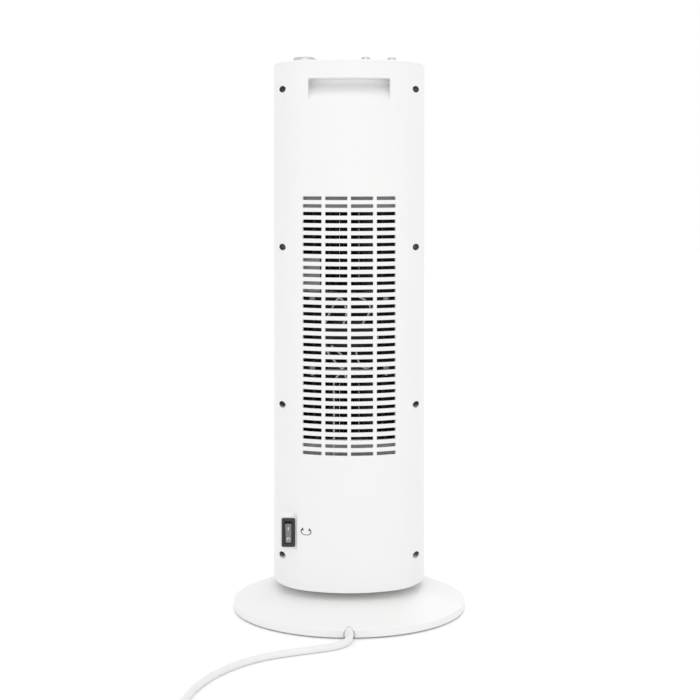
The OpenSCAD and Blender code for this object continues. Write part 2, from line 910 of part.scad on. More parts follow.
// Height at which a screw post meets the inside of the cone
function base_post_top() =
    rim_top - cover_wall + (cone_r - base_screw_ring - 4) * (hub_top - rim_top) / (cone_r - hub_r) + 0.6;

module base_plate() {
    color("gray") difference() {
        z_bar(0, 0, plate_r, plate_z, plate_z + plate_t);
        block(-notch_w / 2, notch_w / 2, plate_r - 22, base_d, 0, 10);
        z_bar(tip_x, 0, tip_r + 1, 0, 10);
        around(4, base_screw_ring, 45) z_bar(0, 0, 1.7, 0, 10);
    }
}

module rubber_feet() {
    color("dimgray") around(foot_count, foot_ring, 90 + 180 / foot_count) z_bar(0, 0, foot_r, 0, foot_h);
}

module base_screws() {
    color("silver") around(4, base_screw_ring, 45) union() {
        z_bar(0, 0, 3, plate_z - 1.2, plate_z);
        z_bar(0, 0, 1.4, plate_z - eps, plate_z + plate_t + 8);
    }
}

module tip_switch_body() {
    color("black") difference() {
        block(tip_x - 9, tip_x + 9, -12, 12, plate_z + plate_t + 3, plate_z + plate_t + 15);
        z_bar(tip_x, 0, tip_r + running, 0, plate_z + plate_t + 13);
    }
}

module tip_plunger() {
    color("ivory") z_bar(tip_x, 0, tip_r, gap, plate_z + plate_t + 10);
}

// ---------- cord ----------

module cord_strain_relief() {
    color("whitesmoke") union() {
        translate([0, exit_y, exit_z]) rotate([90, 0, 0])
            cylinder(r1 = cord_d / 2 + 0.4, r2 = boot_r, h = boot_in + boot_out);
        y_bar(0, exit_z, boot_r + 0.8, exit_y - boot_in - boot_out - 3, exit_y - boot_in - boot_out + eps);
    }
}

module cord_clamp() {
    color("ivory") difference() {
        block(-12, 12, 62, 70, plate_z + plate_t, plate_z + plate_t + 12);
        y_bar(0, lead_z, cord_d / 2 + 0.1, 60, 72);
    }
}

// The lead inside the base: along the plate, then up the hollow post
module base_lead() {
    lead_r = cord_d / 2 - 0.2;
    color("white") union() {
        y_bar(0, lead_z, lead_r, lead_bend - eps, exit_y - boot_in - boot_out - 3.2);
        translate([0, lead_bend, lead_z + lead_bend]) rotate([0, -90, 0]) rotate([0, 0, 180])
            rotate_extrude(angle = 90) translate([lead_bend, 0]) circle(lead_r);
        z_bar(0, 0, lead_r, lead_z + lead_bend - eps, post_top - 2);
    }
}

// Sweep of a round tube along a list of points
function unit(v) = v / norm(v);
function heading(p, i) = unit(p[min(i + 1, len(p) - 1)] - p[max(i - 1, 0)]);
function across(d) = unit(cross(d, [0, 0, 1]));
function tube_ring(p, i, r, sides) = [for (k = [0 : sides - 1])
    p[i] + r * cos(k * 360 / sides) * across(heading(p, i))
    + r * sin(k * 360 / sides) * cross(across(heading(p, i)), heading(p, i))];

module tube(p, r, sides = 10) {
    n = len(p);
    polyhedron(
        points = [for (i = [0 : n - 1]) each tube_ring(p, i, r, sides)],
        faces = concat(
            [[for (k = [0 : sides - 1]) k]],
            [for (i = [0 : n - 2], k = [0 : sides - 1]) [i * sides + k, (i + 1) * sides + k,
                (i + 1) * sides + (k + 1) % sides, i * sides + (k + 1) % sides]],
            [[for (k = [sides - 1 : -1 : 0]) (n - 1) * sides + k]]));
}

// The route's own frame stands at the base's nominal rear edge
module on_route() {
    translate([0, base_d / 2, 0]) children();
}

module mains_cord() {
    color("white") on_route() union() {
        tube(cord_route, cord_z);
        tube(tail_route, cord_z);
    }
}

module cord_coil() {
    color("white") on_route() translate([coil_c[0], coil_c[1], 0]) rotate_extrude()
        translate([coil_in, 0]) square([coil_out - coil_in, coil_h]);
}

module plug_body() {
    color("white") on_route() translate([plug_front[0], plug_front[1], plug_z]) union() {
        translate([-12, 0, 0]) rotate([0, 90, 0]) cylinder(r1 = 8, r2 = 4.4, h = 12);
        difference() {
            translate([-36, 0, 0]) rotate([0, 90, 0]) cylinder(r = 18, h = 24 + eps);
            block(-40, 10, -20, 20, 13, 20);
            block(-40, 10, -20, 20, -20, -13);
        }
    }
}

module plug_pins() {
    color("silver") on_route() for (y = [-9.5, 9.5]) {
        translate([plug_front[0] - 36 - 19, plug_front[1] + y, plug_z]) rotate([0, 90, 0])
            cylinder(r = 2.4, h = 19);
    }
}

base_cover();
base_plate();
rubber_feet();
base_screws();
swivel_wear_ring();
pivot_post();
gear_sector();
pivot_retaining_ring();
cord_strain_relief();
cord_clamp();
base_lead();
tip_switch_body();
tip_plunger();
mains_cord();
cord_coil();
plug_body();
plug_pins();
front_housing();
rear_housing();
top_panel();
tower_floor();
housing_screws();
outlet_grille();
duct_top_plate();
duct_bottom_plate();
blower_scroll();
blower_cutoff();
motor_brackets();
motor_stator();
motor_coil();
motor_screws();
heater_frame();
upper_heating_element();
lower_heating_element();
heater_terminals();
thermal_cutout();
thermostat_body();
push_switches();
button_bezels();
pilot_lamp();
oscillation_motor();
rocker_switch_body();
oscillation_mark();
terminal_block();
wire_harness();
upper_blower_wheel();
lower_blower_wheel();
motor_shaft();
oscillation_pinion();
thermostat_knob();
thermostat_spindle();
low_heat_button();
high_heat_button();
oscillation_rocker();
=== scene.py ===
"""A white oscillating ceramic tower heater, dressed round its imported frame.

Every surface is worked out with numpy in metres, in the frame's own axes: +Z up, +Y the rear with the
intake grille, -Y the way the warm air leaves.
"""
import math

import bmesh
import bpy
import numpy as np
from bpy.props import FloatProperty, FloatVectorProperty, IntProperty, PointerProperty
from mathutils import Matrix, Vector


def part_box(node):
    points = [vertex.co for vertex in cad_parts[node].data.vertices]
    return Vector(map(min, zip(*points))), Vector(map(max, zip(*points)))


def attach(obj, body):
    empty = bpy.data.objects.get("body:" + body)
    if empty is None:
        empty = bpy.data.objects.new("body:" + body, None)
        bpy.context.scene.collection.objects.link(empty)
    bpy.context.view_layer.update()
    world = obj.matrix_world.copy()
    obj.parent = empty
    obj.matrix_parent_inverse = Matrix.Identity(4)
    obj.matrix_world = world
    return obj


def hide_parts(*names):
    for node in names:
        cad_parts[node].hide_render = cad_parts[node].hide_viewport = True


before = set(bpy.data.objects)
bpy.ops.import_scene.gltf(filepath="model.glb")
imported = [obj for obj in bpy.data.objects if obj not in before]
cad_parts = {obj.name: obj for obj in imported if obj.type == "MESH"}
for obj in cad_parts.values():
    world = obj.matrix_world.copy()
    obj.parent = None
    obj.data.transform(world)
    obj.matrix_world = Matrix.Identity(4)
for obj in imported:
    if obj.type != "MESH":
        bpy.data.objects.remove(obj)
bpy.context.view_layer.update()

bl_info = {
    "name": "Tower heater",
    "version": (1, 0, 0),
    "blender": (4, 5, 0),
    "location": "View3D > Sidebar > Heater",
    "description": "Builds the looks of an oscillating ceramic tower heater round its frame",
    "category": "Object",
}

MM = 0.001
REAR_LO, REAR_HI = (np.array(c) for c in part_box("rear_housing"))
BASE_HI = np.array(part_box("base_cover")[1])
PANEL_HI = np.array(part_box("top_panel")[1])
SWITCH_LO, SWITCH_HI = (np.array(c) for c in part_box("rocker_switch_body"))
COIL_LO, COIL_HI = (np.array(c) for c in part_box("cord_coil"))
PLUG_LO, PLUG_HI = (np.array(c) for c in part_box("plug_body"))
KNOB_LO, KNOB_HI = (np.array(c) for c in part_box("thermostat_knob"))


# ---------- sizes and colours ----------

class HeaterSizes(bpy.types.PropertyGroup):
    """The sizes that a user may change"""
    wall: FloatProperty(name="Wall", description="Thickness of the moulded shells",
                        default=2.4 * MM, min=1 * MM, max=4 * MM, unit="LENGTH")
    slot_round: FloatProperty(name="Slot edge", description="Rounding of the grille slots' edges",
                              default=0.45 * MM, min=0.1 * MM, max=1 * MM, unit="LENGTH")
    rim_round: FloatProperty(name="Rim edge", description="Rounding of the tower's top edge",
                             default=3.2 * MM, min=1 * MM, max=8 * MM, unit="LENGTH")
    scoop_depth: FloatProperty(name="Scoop depth", description="Depth of the finger scoop at its top",
                               default=17.5 * MM, min=8 * MM, max=20 * MM, unit="LENGTH")
    grips: IntProperty(name="Knob grips", description="Grip ridges round the knob",
                       default=36, min=12, max=72)


class HeaterColours(bpy.types.PropertyGroup):
    """The colours that a user may change"""
    shell: FloatVectorProperty(name="Shell", description="White of the moulded shells", subtype="COLOR",
                               default=(0.85, 0.85, 0.846), min=0, max=1)
    dark: FloatVectorProperty(name="Dark plastic", description="Switch, blower and outlet plastic",
                              subtype="COLOR", default=(0.018, 0.018, 0.02), min=0, max=1)
    rocker: FloatVectorProperty(name="Rocker", description="Grey of the rocker", subtype="COLOR",
                                default=(0.2, 0.2, 0.205), min=0, max=1)
    cord: FloatVectorProperty(name="Cord", description="White of the mains cord", subtype="COLOR",
                              default=(0.84, 0.84, 0.83), min=0, max=1)


def sizes():
    """The scene's sizes."""
    return bpy.context.scene.heater_sizes


def colours():
    """The scene's colours."""
    return bpy.context.scene.heater_colours


# ---------- shader maths ----------

class Term:
    """A number that changes over a surface: a socket whose arithmetic adds Math nodes."""

    def __init__(self, paint, socket):
        self.paint, self.socket = paint, socket

    def math(self, operation, *others):
        values = [self.socket] + [o.socket if isinstance(o, Term) else o for o in others]
        return self.paint.node("ShaderNodeMath", {"operation": operation}, dict(enumerate(values)))

    def __add__(self, other):
        return self.math("ADD", other)

    def __mul__(self, other):
        return self.math("MULTIPLY", other)

    def __sub__(self, other):
        return self.math("SUBTRACT", other)

    def __rsub__(self, other):
        return (self * -1.0) + other

    __radd__, __rmul__ = __add__, __mul__

    def clip(self):
        return self.math("MAXIMUM", 0.0).math("MINIMUM", 1.0)


class Paint:
    """One material: its Principled shader and the nodes that vary over the surface."""

    def __init__(self, name, **constants):
        self.material = bpy.data.materials.new(name)
        self.material.use_nodes = True
        self.tree = self.material.node_tree
        self.shader = self.tree.nodes["Principled BSDF"]
        for socket, value in constants.items():
            self.shader.inputs[socket.replace("_", " ")].default_value = value
        self.place = self.node("ShaderNodeTexCoord", {}, {}, "Object")

    def node(self, kind, settings, values, output=0):
        made = self.tree.nodes.new(kind)
        for key, value in settings.items():
            setattr(made, key, value)
        for key, value in values.items():
            value = value.socket if isinstance(value, Term) else value
            if isinstance(value, bpy.types.NodeSocket):
                self.tree.links.new(value, made.inputs[key])
            else:
                made.inputs[key].default_value = value
        return Term(self, made.outputs[output])

    def stretched(self, scale):
        return self.node("ShaderNodeMapping", {}, {"Vector": self.place, "Scale": scale}, "Vector")

    def noise(self, scale, detail=3.0, stretch=None):
        where = self.stretched(stretch) if stretch else self.place
        return self.node("ShaderNodeTexNoise", {}, {"Vector": where, "Scale": scale, "Detail": detail}, 0)

    def waves(self, scale, axis="Z", bend=0.0):
        settings = {"wave_type": "BANDS", "bands_direction": axis}
        values = {"Vector": self.place, "Scale": scale, "Distortion": bend}
        return self.node("ShaderNodeTexWave", settings, values, 1)

    def cells(self, scale):
        return self.node("ShaderNodeTexVoronoi", {"feature": "F1"}, {"Vector": self.place, "Scale": scale}, 0)

    def blend(self, factor, low, high):
        colours_in = {0: factor, 6: (*low, 1.0), 7: (*high, 1.0)}
        return self.node("ShaderNodeMix", {"data_type": "RGBA"}, colours_in, 2)

    def feed(self, socket, term):
        self.tree.links.new(term.socket, self.shader.inputs[socket])

    def bump(self, height, strength, distance):
        ways = {"Height": height, "Strength": strength, "Distance": distance}
        self.feed("Normal", self.node("ShaderNodeBump", {}, ways, "Normal"))


def tinted(colour, share):
    """A colour times a share, kept at or below one."""
    return tuple(min(1.0, c * share) for c in colour)


def moulded(name, colour, rough=0.42, grain=0.00006, spread=0.03, **more):
    """Moulded plastic: fine spark-eroded grain, slow drifts of shade and patches of handled gloss."""
    paint = Paint(name, Roughness=rough, **more)
    drift = paint.noise(9.0, 4.0)
    specks = paint.noise(900.0, 2.0)
    shade = (drift * 1.6 - 0.3).clip()
    paint.feed("Base Color", paint.blend(shade, tinted(colour, 1 - spread), tinted(colour, 1.0)))
    paint.feed("Roughness", (paint.noise(26.0) * 0.16 + specks * 0.08 + (rough - 0.12)).clip())
    paint.bump(specks * 0.7 + paint.cells(1400.0) * 0.3, 0.35, grain)
    return paint.material


def plated(name, colour, rough=0.12):
    """Bright plating with faint turning lines and breath-like haze."""
    paint = Paint(name, Metallic=1.0, Roughness=rough)
    lines = paint.waves(1500.0, "Z", 0.4)
    haze = paint.noise(60.0, 4.0)
    paint.feed("Base Color", paint.blend(haze, tinted(colour, 0.92), colour))
    paint.feed("Roughness", (haze * 0.12 + lines * 0.05 + rough - 0.06).clip())
    paint.bump(lines, 0.12, 0.00002)
    return paint.material


def rolled(name, colour, rough=0.34, stretch=(1.0, 1.0, 40.0)):
    """Rolled or turned metal with long fine scratches."""
    paint = Paint(name, Metallic=1.0, Roughness=rough)
    grain = paint.noise(120.0, 4.0, stretch)
    paint.feed("Base Color", paint.blend(grain, tinted(colour, 0.8), colour))
    paint.feed("Roughness", (grain * 0.25 + rough - 0.1).clip())
    paint.bump(grain, 0.2, 0.00004)
    return paint.material


def laminated(name, colour):
    """Stacked motor steel: half-millimetre sheets with dark gaps and a film of varnish."""
    paint = Paint(name, Metallic=0.9, Roughness=0.4)
    sheets = paint.waves(314.0, "Z")
    paint.feed("Base Color", paint.blend(sheets, tinted(colour, 0.35), colour))
    paint.feed("Roughness", (paint.noise(80.0) * 0.3 + 0.25).clip())
    paint.bump(sheets, 0.5, 0.0001)
    return paint.material


def vinyl(name, colour, rough=0.4):
    """Soft white cord sheath: faint length-wise flow, handling haze and small scuffs."""
    paint = Paint(name, Roughness=rough)
    scuffs = paint.noise(70.0, 5.0)
    flow = paint.noise(420.0, 2.0)
    paint.feed("Base Color", paint.blend((scuffs * 1.5 - 0.2).clip(), tinted(colour, 0.95), colour))
    paint.feed("Roughness", (scuffs * 0.2 + rough - 0.1).clip())
    paint.bump(flow, 0.25, 0.00008)
    return paint.material


def rubber(name, colour):
    """Dull black rubber with pale dust in its grain."""
    paint = Paint(name, Roughness=0.8)
    dust = paint.noise(150.0, 5.0)
    paint.feed("Base Color", paint.blend((dust * 1.4 - 0.3).clip(), colour, tinted(colour, 1.9)))
    paint.feed("Roughness", (dust * 0.2 + 0.65).clip())
    paint.bump(dust, 0.4, 0.0002)
    return paint.material


def wound(name, colour):
    """Winding tape: overlapping turns of glass cloth with a fine weave."""
    paint = Paint(name, Roughness=0.7)
    laps = paint.waves(90.0, "Z", 0.6)
    weave = paint.waves(900.0, "X") * paint.waves(900.0, "Z")
    paint.feed("Base Color", paint.blend(laps, tinted(colour, 0.72), colour))
    paint.feed("Roughness", (paint.noise(200.0) * 0.3 + 0.5).clip())
    paint.bump(laps * 0.6 + weave * 0.4, 0.6, 0.0002)
    return paint.material


def glassy(name, colour):
    """Clear coloured lamp lens with a faintly frosted inside."""
    paint = Paint(name, Roughness=0.15, Transmission_Weight=0.5, IOR=1.49)
    frost = paint.noise(300.0, 3.0)
    paint.feed("Base Color", paint.blend(frost, tinted(colour, 0.8), colour))
    paint.feed("Roughness", (frost * 0.2 + 0.08).clip())
    return paint.material


def inked(name, colour):
    """Screen-printed ink: slightly raised, a little uneven in cover."""
    paint = Paint(name, Roughness=0.55)
    cover = paint.noise(1600.0, 3.0)
    paint.feed("Base Color", paint.blend(cover, colour, tinted(colour, 1.6)))
    paint.feed("Roughness", (cover * 0.3 + 0.4).clip())
    paint.bump(cover, 0.3, 0.00003)
    return paint.material


MADE = {}


def finish_of(name):
    """The materials by their slot name, made once each."""
    if name not in MADE:
        shade = colours()
        makers = {
            "white_plastic": lambda: moulded("white_plastic", tuple(shade.shell), 0.4),
            "dark_plastic": lambda: moulded("dark_plastic", tuple(shade.dark), 0.38, spread=0.35),
            "grey_plastic": lambda: moulded("grey_plastic", tuple(shade.rocker), 0.32, spread=0.12),
            "duct_plastic": lambda: moulded("duct_plastic", (0.5, 0.5, 0.5), 0.5, spread=0.1),
            "ivory_plastic": lambda: moulded("ivory_plastic", (0.72, 0.7, 0.64), 0.35, spread=0.08),
            "chrome_trim": lambda: plated("chrome_trim", (0.62, 0.62, 0.63)),
            "steel": lambda: rolled("steel", (0.5, 0.5, 0.51)),
            "laminated_steel": lambda: laminated("laminated_steel", (0.09, 0.09, 0.095)),
            "black_screw": lambda: rolled("black_screw", (0.26, 0.26, 0.265), 0.4),
            "aluminium_fins": lambda: rolled("aluminium_fins", (0.78, 0.78, 0.79), 0.3, (1.0, 30.0, 1.0)),
            "brass": lambda: rolled("brass", (0.66, 0.48, 0.2)),
            "rubber": lambda: rubber("rubber", (0.022, 0.022, 0.022)),
            "cord_white": lambda: vinyl("cord_white", tuple(shade.cord)),
            "winding_tape": lambda: wound("winding_tape", (0.03, 0.03, 0.032)),
            "lamp_amber": lambda: glassy("lamp_amber", (0.9, 0.35, 0.04)),
            "mark_ink": lambda: inked("mark_ink", (0.05, 0.05, 0.052)),
            "mark_white": lambda: inked("mark_white", (0.62, 0.62, 0.62)),
        }
        MADE[name] = makers[name]()
    return MADE[name]


# ---------- mesh helpers ----------

def mesh_piece(name, points, faces, finish):
    """An object at the origin whose mesh holds its place."""
    mesh = bpy.data.meshes.new(name)
    points = np.asarray(points, float).reshape(-1, 3)
    mesh.from_pydata(points.tolist(), [], [list(map(int, f)) for f in faces])
    mesh.validate()
    piece = bpy.data.objects.new(name, mesh)
    bpy.context.scene.collection.objects.link(piece)
    mesh.materials.append(finish_of(finish))
    mesh.polygons.foreach_set("use_smooth", [True] * len(mesh.polygons))
    return piece


def grid_faces(rows, cols, wrap_rows=False, wrap_cols=False, keep=None):
    """Quads of a rows by cols grid of points, as one array; keep picks cells."""
    r = np.arange(rows if wrap_rows else rows - 1)
    c = np.arange(cols if wrap_cols else cols - 1)
    rr, cc = np.meshgrid(r, c, indexing="ij")
    rn, cn = (rr + 1) % rows, (cc + 1) % cols
    quads = np.stack([rr * cols + cc, rr * cols + cn, rn * cols + cn, rn * cols + cc], -1)
    return quads[keep] if keep is not None else quads.reshape(-1, 4)


def capped_faces(rows, cols):
    """Faces of a tube of closed rings, with one flat face over each end."""
    ends = [list(range(cols)), list(range(cols * (rows - 1), cols * rows))]
    return grid_faces(rows, cols, False, True).tolist() + ends


def cleaned(piece):
    """Merges doubles and turns the faces outward."""
    shape = bmesh.new()
    shape.from_mesh(piece.data)
    bmesh.ops.remove_doubles(shape, verts=shape.verts, dist=1e-6)
    bmesh.ops.recalc_face_normals(shape, faces=shape.faces)
    shape.to_mesh(piece.data)
    shape.free()
    piece.data.update()
    return piece


def sharpen(piece, degrees=35.0):
    """Smooth shading except across edges sharper than the angle."""
    shape = bmesh.new()
    shape.from_mesh(piece.data)
    for edge in shape.edges:
        edge.smooth = not (len(edge.link_faces) == 2 and edge.calc_face_angle(0.0) > math.radians(degrees))
    shape.to_mesh(piece.data)
    shape.free()
    piece.data.polygons.foreach_set("use_smooth", [True] * len(piece.data.polygons))
    return piece


def rounded(piece, width, segments=2, degrees=40.0):
    """A bevel modifier on edges sharper than the angle."""
    soft = piece.modifiers.new("edge_round", "BEVEL")
    soft.width, soft.segments = width, segments
    soft.limit_method, soft.angle_limit = "ANGLE", math.radians(degrees)


def applied(piece):
    """Bakes the modifiers into the mesh."""
    graph = bpy.context.evaluated_depsgraph_get()
    mesh = bpy.data.meshes.new_from_object(piece.evaluated_get(graph))
    old, piece.data = piece.data, mesh
    piece.modifiers.clear()
    bpy.data.meshes.remove(old)
    mesh.name = piece.name
    return piece


def cut(piece, cutter):
    """Takes the cutter's volume out of the piece and removes the cutter."""
    hole = piece.modifiers.new("cut", "BOOLEAN")
    hole.operation, hole.solver, hole.object = "DIFFERENCE", "EXACT", cutter
    applied(piece)
    bpy.data.objects.remove(cutter)
    return piece


def revolved(name, profile, finish, centre=(0.0, 0.0, 0.0), sides=96, ripple=None, axis="Z"):
    """A closed profile of (radius, height) points turned about an axis; ripple(angle, height) adds to the
    radius. Points on the axis become poles."""
    turn = np.linspace(0, 2 * np.pi, sides, endpoint=False)
    r, h = np.array(profile, float).T
    radius = r[:, None] + (ripple(turn[None, :], h[:, None]) if ripple else 0.0)
    x, y = radius * np.cos(turn), radius * np.sin(turn)
    z = np.repeat(h[:, None], sides, 1)
    if axis == "Y":
        points = np.stack([x, z, -y], -1)
    elif axis == "X":
        points = np.stack([z, x, y], -1)
    else:
        points = np.stack([x, y, z], -1)
    faces = grid_faces(len(r), sides, False, True)
    return cleaned(mesh_piece(name, points.reshape(-1, 3) + np.array(centre), faces, finish))


def joined(name, pieces):
    """Several meshes made one object."""
    shape = bmesh.new()
    for piece in pieces:
        shape.from_mesh(piece.data)
    mesh = bpy.data.meshes.new(name)
    shape.to_mesh(mesh)
    shape.free()
    for material in pieces[0].data.materials:
        mesh.materials.append(material)
    made = bpy.data.objects.new(name, mesh)
    bpy.context.scene.collection.objects.link(made)
    for piece in pieces:
        bpy.data.objects.remove(piece)
    return made


def rounded_box(name, lo, hi, finish, width, segments=3):
    """A box between two corners with its edges rounded."""
    lo, hi = np.array(lo), np.array(hi)
    bits = np.array([[i >> 2 & 1, i >> 1 & 1, i & 1] for i in range(8)])
    faces = [(0, 1, 3, 2), (4, 6, 7, 5), (0, 4, 5, 1), (2, 3, 7, 6), (0, 2, 6, 4), (1, 5, 7, 3)]
    piece = mesh_piece(name, lo + bits * (hi - lo), faces, finish)
    cleaned(piece)
    rounded(piece, width, segments)
    return applied(piece)


def arc(cx, cy, radius, start, stop, count):
    """Points on a circle's arc, angles in degrees."""
    a = np.radians(np.linspace(start, stop, count))
    return [(cx + radius * math.cos(t), cy + radius * math.sin(t)) for t in a]


# ---------- the tower's outline ----------

TOWER_W = REAR_HI[0] - REAR_LO[0]
TOWER_D = 2 * REAR_HI[1]
SEAM_Y = REAR_LO[1]
TOWER_Z, CAP_Z = REAR_LO[2], REAR_HI[2]
FACE_R, SIDE_R, CORNER_R = 105 * MM, 108 * MM, 60 * MM
CORNER_REACH = 0.523


def reach(angle):
    """Distance from the axis to the outline in a direction: the nearest of the arcs that bound it. The flat
    face and side arcs bound it everywhere, the tight corner arcs only past a quarter of the width and depth."""
    u = np.stack([np.cos(angle), np.sin(angle)])

    def to_disc(cx, cy, radius):
        along = cx * u[0] + cy * u[1]
        return along + np.sqrt(radius ** 2 - cx ** 2 - cy ** 2 + along ** 2)

    face, side = FACE_R - TOWER_D / 2, SIDE_R - TOWER_W / 2
    far = np.minimum.reduce([to_disc(0, s * face, FACE_R) for s in (-1, 1)]
                            + [to_disc(s * side, 0, SIDE_R) for s in (-1, 1)])
    c = ((TOWER_W + TOWER_D) / 2 * CORNER_REACH - CORNER_R) / math.sqrt(2)
    corner = to_disc(c * np.sign(u[0]), c * np.sign(u[1]), CORNER_R)
    outside = (np.abs(corner * u[0]) > TOWER_W / 4) & (np.abs(corner * u[1]) > TOWER_D / 4)
    return np.where(outside, np.minimum(far, corner), far)


def smooth_reach(angle, width=0.05):
    """The outline's distance averaged over a few degrees, so that one arc runs into the next."""
    steps = np.linspace(-width, width, 9)
    return np.mean([reach(angle + s) for s in steps], axis=0)


TABLE_A = np.linspace(0, 2 * np.pi, 2881)
TABLE_R = smooth_reach(TABLE_A)


def outline_at(angle, inset=0.0):
    """The outline's points in given directions, from the table of distances, drawn in by the inset."""
    radius = np.interp(np.mod(angle, 2 * np.pi), TABLE_A, TABLE_R) - inset
    return np.stack([radius * np.cos(angle), radius * np.sin(angle)], -1)


def rear_angle(x):
    """Direction from the axis of the rear outline's point at a given x."""
    a = np.linspace(np.pi, 0, 1441)
    return np.interp(x, outline_at(a)[:, 0], a)


def rear_y(x):
    """How far back the rear face stands at a given x."""
    return outline_at(rear_angle(x))[..., 1]


def softstep(value, lo, hi):
    """Nought below lo and one above hi, with the cubic 3t^2 - 2t^3 between."""
    t = np.clip((value - lo) / (hi - lo), 0, 1)
    return t * t * (3 - 2 * t)


# Intake grille, in millimetres across and up
SLOT_ROWS, SLOT_PITCH, SLOT_H, GRILLE_Z = 34, 8.03, 3.8, 311.0
SLOT_COLUMNS = [(-48.7, -28.7), (-25.1, -1.8), (1.8, 25.1), (28.7, 48.7)]
SLOT_LOWS = [GRILLE_Z + (i - (SLOT_ROWS - 1) / 2) * SLOT_PITCH - SLOT_H / 2 for i in range(SLOT_ROWS)]
# Finger scoop, switch pad and the switch's opening, in millimetres
SCOOP_HALF, SCOOP_LO, SCOOP_HI = 43.0, 541.4, 568.8
PAD_X = ((SWITCH_LO[0] / MM) - 1.6, (SWITCH_HI[0] / MM) + 1.6)
PAD_Z = ((SWITCH_LO[2] / MM) - 1.6, (SWITCH_HI[2] / MM) + 1.6)
PAD_Y = SWITCH_HI[1] / MM - 2.0
HOLE_X = ((SWITCH_LO[0] / MM) + 0.8, (SWITCH_HI[0] / MM) - 0.8)
HOLE_Z = ((SWITCH_LO[2] / MM) + 1.2, (SWITCH_HI[2] / MM) - 1.2)
SCREW_X, SCREW_ZS, RECESS_R = 70.5, (65.8, 224.8, 391.3, 558.3), 3.6
OUTLET_HALF, OUTLET_LO, OUTLET_HI = 48.0, 176.6, 445.4


def scoop_depth(x, z):
    """Depth of the finger scoop in millimetres: a rounded oblong outline with large lower corners, times a
    hollow ramp that starts flush at the bottom, deepens upwards and ends under a rounded overhang."""
    half_z = (SCOOP_HI - SCOOP_LO) / 2
    mid_z = (SCOOP_HI + SCOOP_LO) / 2
    corner = np.where(z < mid_z, 7.0, 2.2)
    dx = np.abs(x) - (SCOOP_HALF - corner)
    dz = np.abs(z - mid_z) - (half_z - corner)
    edge = np.hypot(np.maximum(dx, 0), np.maximum(dz, 0)) + np.minimum(np.maximum(dx, dz), 0) - corner
    inside = 1 - softstep(edge, -1.5, 0.0)
    ramp = np.clip((z - SCOOP_LO) / (SCOOP_HI - 6 - SCOOP_LO), 0, 1)
    return sizes().scoop_depth / MM * inside * (0.04 + 0.96 * ramp ** 1.8)


def pad_lift(x, z, y):
    """How far the switch pad stands proud: up to one plane over its oblong, with a short slope above it."""
    across = softstep(x, PAD_X[0] - 0.5, PAD_X[0] + 0.1) * (1 - softstep(x, PAD_X[1] - 0.3, PAD_X[1] + 0.3))
    up = softstep(z, PAD_Z[0] - 0.6, PAD_Z[0]) * (1 - np.clip((z - PAD_Z[1]) / 4.2, 0, 1))
    return across * up * (PAD_Y - y)


def between(lo, hi, step):
    """Even places from lo to hi, about one step apart."""
    return list(np.linspace(lo, hi, max(2, int(round((hi - lo) / step)) + 1)))


def shell_rows(rear):
    """Heights of the grid's rows: slot edges, fine steps over the scoop and pad, coarse steps elsewhere."""
    if rear:
        rows = [TOWER_Z / MM, 36, 45, 60] + between(75.4, 78.2, 0.4) + between(84, 104, 10)
        rows += between(108.6, 115.4, 0.5) + between(125, 172, 12) + list(HOLE_Z)
        rows += [z + d for z in SLOT_LOWS for d in (0, SLOT_H)]
        rows += between(452, 530, 13) + between(539.6, 551, 0.75) + between(553, 563.5, 1.5)
        rows += between(565, 571, 0.4) + [574, 580, 583.6, CAP_Z / MM]
    else:
        rows = between(TOWER_Z / MM, 170, 12) + [OUTLET_LO] + between(186, 436, 10) + [OUTLET_HI]
        rows += between(456, 580, 12) + [CAP_Z / MM]
    return np.array(sorted(set(np.round(rows, 4))))


def shell_columns(rear):
    """Directions of the grid's columns, from one seam to the other."""
    if rear:
        xs = [s * v for s in (-1, 1) for v in between(1.8, 25.1, 3.4) + between(28.7, 48.7, 3.4)]
        xs += [0.0] + [s * v for s in (-1, 1) for v in between(40.6, 44.2, 0.45) + [51, 53]]
        xs += between(PAD_X[0] - 1, PAD_X[0] + 1, 0.34) + between(57, 71, 1.4)
        xs += between(PAD_X[1] - 0.6, PAD_X[1] + 0.6, 0.3) + list(HOLE_X)
        xs += [74] + [-v for v in between(55, 74, 1.9)]
        xs = np.array(sorted(set(np.round(xs, 4)), reverse=True))
        mid = rear_angle(xs * MM)
    else:
        xs = np.array(sorted(set(np.round(between(-OUTLET_HALF, OUTLET_HALF, 3.2), 4))))
        mid = 2 * np.pi - rear_angle(xs * MM)
    seam = math.asin(SEAM_Y / (TOWER_W / 2))
    start, stop = (seam, np.pi - seam) if rear else (np.pi - seam, 2 * np.pi + seam)
    ends = np.arange(4, 90) * math.radians(1.6)
    low = [a for a in start + ends if a < mid[0] - 0.02]
    high = [a for a in stop - ends if a > mid[-1] + 0.02]
    return np.array(sorted([start] + low + list(mid) + high + [stop]))


